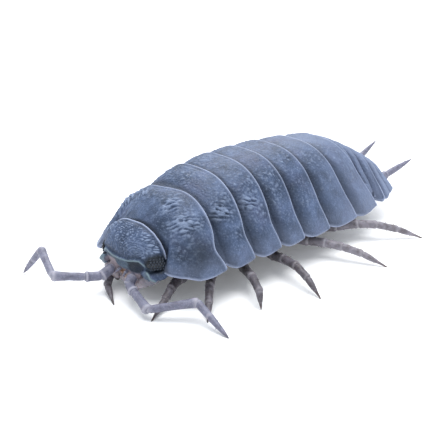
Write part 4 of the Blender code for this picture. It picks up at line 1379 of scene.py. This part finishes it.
class Paint:
    """A small helper for building one material's nodes."""

    def __init__(self, name, roughness, specular):
        self.material = bpy.data.materials.new(name)
        self.material.use_nodes = True
        self.tree = self.material.node_tree
        self.shader = self.tree.nodes["Principled BSDF"]
        self.shader.inputs["Roughness"].default_value = roughness
        self.shader.inputs["Specular IOR Level"].default_value = specular
        self.place = self.tree.nodes.new("ShaderNodeTexCoord").outputs["Object"]

    def link(self, source, target):
        self.tree.links.new(source, target)

    def scaled(self, per_mm):
        """The place on the piece, counted in lumps instead of metres."""
        mapping = self.tree.nodes.new("ShaderNodeMapping")
        mapping.inputs["Scale"].default_value = [per_mm / MM] * 3
        self.link(self.place, mapping.inputs["Vector"])
        return mapping.outputs["Vector"]

    def noise(self, per_mm, detail=3.0, rough=0.55):
        """Noise with a number of lumps per millimetre."""
        node = self.tree.nodes.new("ShaderNodeTexNoise")
        node.inputs["Scale"].default_value = 1.0
        node.inputs["Detail"].default_value = detail
        node.inputs["Roughness"].default_value = rough
        self.link(self.scaled(per_mm), node.inputs["Vector"])
        return node.outputs["Fac"]

    def cells(self, per_mm):
        """Distance to the nearest of some scattered points."""
        node = self.tree.nodes.new("ShaderNodeTexVoronoi")
        node.feature = "F1"
        node.inputs["Scale"].default_value = 1.0
        self.link(self.scaled(per_mm), node.inputs["Vector"])
        return node.outputs["Distance"]

    def value(self, name):
        """A value stored with the piece's points."""
        node = self.tree.nodes.new("ShaderNodeAttribute")
        node.attribute_type = "GEOMETRY"
        node.attribute_name = name
        return node.outputs["Fac"]

    def times(self, a, b):
        """One source multiplied by another."""
        node = self.tree.nodes.new("ShaderNodeMath")
        node.operation = "MULTIPLY"
        self.link(a, node.inputs[0])
        self.link(b, node.inputs[1])
        return node.outputs[0]

    def span(self, source, low, high, out_low=0.0, out_high=1.0):
        """A source taken from one range to another, held at its ends."""
        node = self.tree.nodes.new("ShaderNodeMapRange")
        node.clamp = True
        for key, number in (("From Min", low), ("From Max", high),
                            ("To Min", out_low), ("To Max", out_high)):
            node.inputs[key].default_value = number
        self.link(source, node.inputs["Value"])
        return node.outputs["Result"]

    def mix(self, share, a, b):
        """Colour a turning into colour b, each a colour or a socket."""
        node = self.tree.nodes.new("ShaderNodeMix")
        node.data_type = "RGBA"
        node.blend_type = "MIX"
        for index, item in ((6, a), (7, b)):
            if isinstance(item, tuple):
                node.inputs[index].default_value = (*item, 1.0)
            else:
                self.link(item, node.inputs[index])
        self.link(share, node.inputs[0])
        return node.outputs[2]

    def coat(self, under, source, low, high, most, colour):
        """A colour laid over another as a source goes from low to high."""
        return self.mix(self.span(source, low, high, 0.0, most), under, colour)

    def colour(self, source):
        self.link(source, self.shader.inputs["Base Color"])

    def bump(self, height, depth_mm, strength, before=None):
        """Small relief in the shading only, on top of the relief before it."""
        node = self.tree.nodes.new("ShaderNodeBump")
        node.inputs["Strength"].default_value = strength
        node.inputs["Distance"].default_value = depth_mm * MM
        self.link(height, node.inputs["Height"])
        if before is not None:
            self.link(before, node.inputs["Normal"])
        return node.outputs["Normal"]

    def normal(self, source):
        self.link(source, self.shader.inputs["Normal"])

    def translucent(self, weight, radius):
        """Light that goes a little way in, with a reach for each colour in metres."""
        self.shader.inputs["Subsurface Weight"].default_value = weight
        self.shader.inputs["Subsurface Radius"].default_value = radius
        self.shader.inputs["Subsurface Scale"].default_value = 1.0


def shell_material():
    """Slate blue shell, finely grained, with pale rims, painted shade and painted light."""
    paint = Paint("shell_blue_grey_dressed", roughness=0.50, specular=0.30)
    mottle = paint.noise(1.3, 4.0, 0.6)
    colour = paint.mix(paint.span(mottle, 0.32, 0.68), SHELL_DARK, SHELL_MID)
    colour = paint.coat(colour, paint.noise(0.7, 2.0, 0.5), 0.50, 0.75, 0.35, SHELL_LILAC)
    # Painted light and shade: raised grains and folds are painted lighter, the hollows between them
    # darker.
    height = paint.value("height")
    colour = paint.coat(colour, height, 0.10, 0.90, 0.85, SHELL_LIGHT)
    colour = paint.coat(colour, height, 0.05, -0.45, 0.70, SHELL_DARK)
    specks = paint.noise(14.0, 2.0, 0.7)
    colour = paint.coat(colour, specks, 0.54, 0.72, 0.45, SHELL_LIGHT)
    colour = paint.coat(colour, specks, 0.46, 0.30, 0.40, SHELL_DARK)
    # The coats lay painted light on the rear and painted shade where plates tuck under, on the
    # first flank, round the eyes and under the frontal line
    for name, full, most, coat in SHELL_COATS:
        colour = paint.coat(colour, paint.value(name), 0.0, full, most, coat)
    patchy = paint.span(paint.noise(3.0, 2.0), 0.25, 0.6, 0.75, 1.0)
    colour = paint.mix(paint.times(paint.value("pale"), patchy), colour, SHELL_PALE)
    colour = paint.coat(colour, paint.value("under"), 0.5, 1.0, 1.0, SHELL_UNDER)
    paint.colour(colour)
    paint.link(paint.span(specks, 0.3, 0.7, 0.42, 0.62), paint.shader.inputs["Roughness"])
    fine = paint.bump(paint.noise(16.0, 3.0, 0.6), 0.020, 0.55)
    pits = paint.span(paint.cells(9.0), 0.15, 0.6, 1.0, 0.0)
    paint.normal(paint.bump(pits, 0.018, 0.45, fine))
    return paint.material


def flesh_material():
    """The softer underside."""
    paint = Paint("underside_flesh", roughness=0.55, specular=0.35)
    mottle = paint.span(paint.noise(1.6, 4.0), 0.35, 0.65)
    paint.colour(paint.mix(mottle, FLESH_DARK, FLESH_LIGHT))
    paint.normal(paint.bump(paint.noise(6.0, 4.0), 0.05, 0.6))
    paint.translucent(0.12, (0.0006, 0.0004, 0.0003))
    return paint.material


def limb_material(name, main, dark, pale, pale_share):
    """A jointed limb: mottled stretches with pale joints and brown tips."""
    paint = Paint(name, roughness=0.48, specular=0.45)
    colour = paint.mix(paint.span(paint.noise(3.2, 4.0, 0.6), 0.34, 0.66), dark, main)
    colour = paint.coat(colour, paint.value("joint"), 0.0, 1.0, pale_share, pale)
    colour = paint.coat(colour, paint.value("tip"), 0.0, 1.0, 0.85, TIP_BROWN)
    colour = paint.coat(colour, paint.noise(18.0, 2.0, 0.6), 0.55, 0.75, 0.35, pale)
    paint.colour(colour)
    paint.normal(paint.bump(paint.noise(15.0, 3.0, 0.6), 0.014, 0.55))
    paint.translucent(0.10, (0.0005, 0.0003, 0.0003))
    return paint.material


def eye_material():
    """Black, wet-looking lenses with painted glints."""
    paint = Paint("eye_black_dressed", roughness=0.26, specular=0.45)
    colour = paint.mix(paint.noise(8.0, 2.0), *EYE_COLOURS)
    # Painted highlight: each lens is painted lighter than the mound, as a glint.
    paint.colour(paint.coat(colour, paint.value("gloss"), 0.0, 1.0, 0.45, LENS_GLINT_COLOUR))
    paint.normal(paint.bump(paint.noise(12.0, 2.0), 0.004, 0.4))
    return paint.material


def mouth_material():
    """Pale pinkish jaws, brown above, dark at their tips."""
    paint = Paint("mouth_brown_dressed", roughness=0.42, specular=0.5)
    colour = paint.mix(paint.noise(3.0, 3.0), *MOUTH_COLOURS)
    colour = paint.coat(colour, paint.value("leaf"), 0.0, 1.0, 0.8, MOUTH_LEAF)
    colour = paint.coat(colour, paint.value("warm"), 0.0, 1.0, 0.95, MOUTH_WARM)
    paint.colour(paint.coat(colour, paint.value("tip"), 0.2, 0.9, 0.95, MOUTH_TIP))
    paint.normal(paint.bump(paint.noise(12.0, 3.0), 0.02, 0.5))
    paint.translucent(0.15, (0.0006, 0.0003, 0.0002))
    return paint.material


# Camera, light and floor

CAMERA_AZIMUTH = 49.36
CAMERA_ELEVATION = 23.376
CAMERA_ROLL = -1.442
CAMERA_DISTANCE = 36.722
CAMERA_TARGET = (0.0, 5.5, 2.0)
CAMERA_ASIDE = -0.5617
CAMERA_UP = -0.6532
FOCAL_PIXELS = 785.9
PHOTO_PIXELS = 447.0
SENSOR = 36.0
FLOOR_REACH = 0.6
FLOOR_GLOW = (0.93, 0.97, 1.0, 1.0)
FLOOR_GLOW_STRENGTH = 0.10
ROOM_COLOUR = (0.90, 0.95, 1.0, 1.0)
ROOM_STRENGTH = 0.76
# Lamps: name, place in metres, size in metres, power in watts
LAMPS = (
    ("lamp_above", (-0.02, 0.04, 0.35), 0.35, 1.36),
    ("lamp_behind", (-0.16, 0.12, 0.16), 0.16, 0.26),
)


def photo_camera():
    """The camera worked out from the photograph, looking at the front left."""
    azimuth, elevation = math.radians(CAMERA_AZIMUTH), math.radians(CAMERA_ELEVATION)
    roll = math.radians(CAMERA_ROLL)
    back = Vector((math.sin(azimuth) * math.cos(elevation),
                   -math.cos(azimuth) * math.cos(elevation), math.sin(elevation)))
    right = Vector((math.cos(azimuth), math.sin(azimuth), 0.0))
    up = back.cross(right)
    right_rolled = right * math.cos(roll) + up * math.sin(roll)
    up_rolled = up * math.cos(roll) - right * math.sin(roll)
    target = Vector(CAMERA_TARGET) + right_rolled * CAMERA_ASIDE + up_rolled * CAMERA_UP
    data = bpy.data.cameras.new("photo_camera")
    data.sensor_width = SENSOR
    data.lens = FOCAL_PIXELS * SENSOR / PHOTO_PIXELS
    data.clip_start = 0.0005
    data.clip_end = 2.0
    camera = bpy.data.objects.new("photo_camera", data)
    matrix = Matrix((right_rolled, up_rolled, back)).transposed().to_4x4()
    matrix.translation = (target + back * CAMERA_DISTANCE - Vector(SHIFT)) * MM
    camera.matrix_world = matrix
    bpy.context.scene.collection.objects.link(camera)
    bpy.context.scene.camera = camera


def soft_light(name, spot, size, power):
    """A round lamp that faces the animal."""
    data = bpy.data.lights.new(name, "AREA")
    data.shape = "DISK"
    data.size = size
    data.energy = power
    lamp = bpy.data.objects.new(name, data)
    lamp.location = spot
    lamp.rotation_euler = (-Vector(spot)).to_track_quat("-Z", "Y").to_euler()
    bpy.context.scene.collection.objects.link(lamp)


def studio():
    """A pale floor, a bright even room and soft lamps above and behind."""
    square = ((-1, -1), (1, -1), (1, 1), (-1, 1))
    corners = [(FLOOR_REACH * x, FLOOR_REACH * y, 0) for x, y in square]
    mesh = bpy.data.meshes.new("floor")
    mesh.from_pydata(corners, [], [(0, 1, 2, 3)])
    paint = Paint("floor_white", roughness=0.6, specular=0.2)
    paint.colour(paint.mix(paint.noise(0.01, 1.0), (0.93, 0.93, 0.935), (0.95, 0.95, 0.955)))
    paint.shader.inputs["Emission Color"].default_value = FLOOR_GLOW
    paint.shader.inputs["Emission Strength"].default_value = FLOOR_GLOW_STRENGTH
    mesh.materials.append(paint.material)
    floor = bpy.data.objects.new("floor", mesh)
    bpy.context.scene.collection.objects.link(floor)
    world = bpy.data.worlds.new("room")
    world.use_nodes = True
    sky = world.node_tree.nodes["Background"].inputs
    sky["Color"].default_value = ROOM_COLOUR
    sky["Strength"].default_value = ROOM_STRENGTH
    bpy.context.scene.world = world
    for lamp in LAMPS:
        soft_light(*lamp)
    settings = bpy.context.scene.view_settings
    settings.view_transform = "Standard"
    settings.look = "None"
    settings.exposure = 0.0


def build_all():
    """Every piece of the animal."""
    shell = shell_material()
    flesh = flesh_material()
    feeler = limb_material("feeler_grey_dressed", *FEELER_COLOURS)
    leg = limb_material("leg_brown_dressed", *LEG_COLOURS)
    rear_leg = limb_material("leg_grey_dressed", *REAR_LEG_COLOURS)
    eye = eye_material()
    build_plates(shell)
    telson_piece(shell)
    head_piece(shell)
    eye_piece("eye_left", 1, eye)
    eye_piece("eye_right", -1, eye)
    mouth_piece(mouth_material())
    small_feelers(feeler)
    body_core(flesh)
    antenna_piece("antenna_left", ANTENNA_LEFT, feeler, 301)
    antenna_piece("antenna_right", ANTENNA_RIGHT, feeler, 302)
    build_legs(leg, rear_leg)
    uropod_piece("uropod_left", 1, (1.30, 17.30, 1.98), feeler, 401)
    uropod_piece("uropod_right", -1, (-1.50, 17.70, 2.33), feeler, 402)


build_all()
studio()
photo_camera()
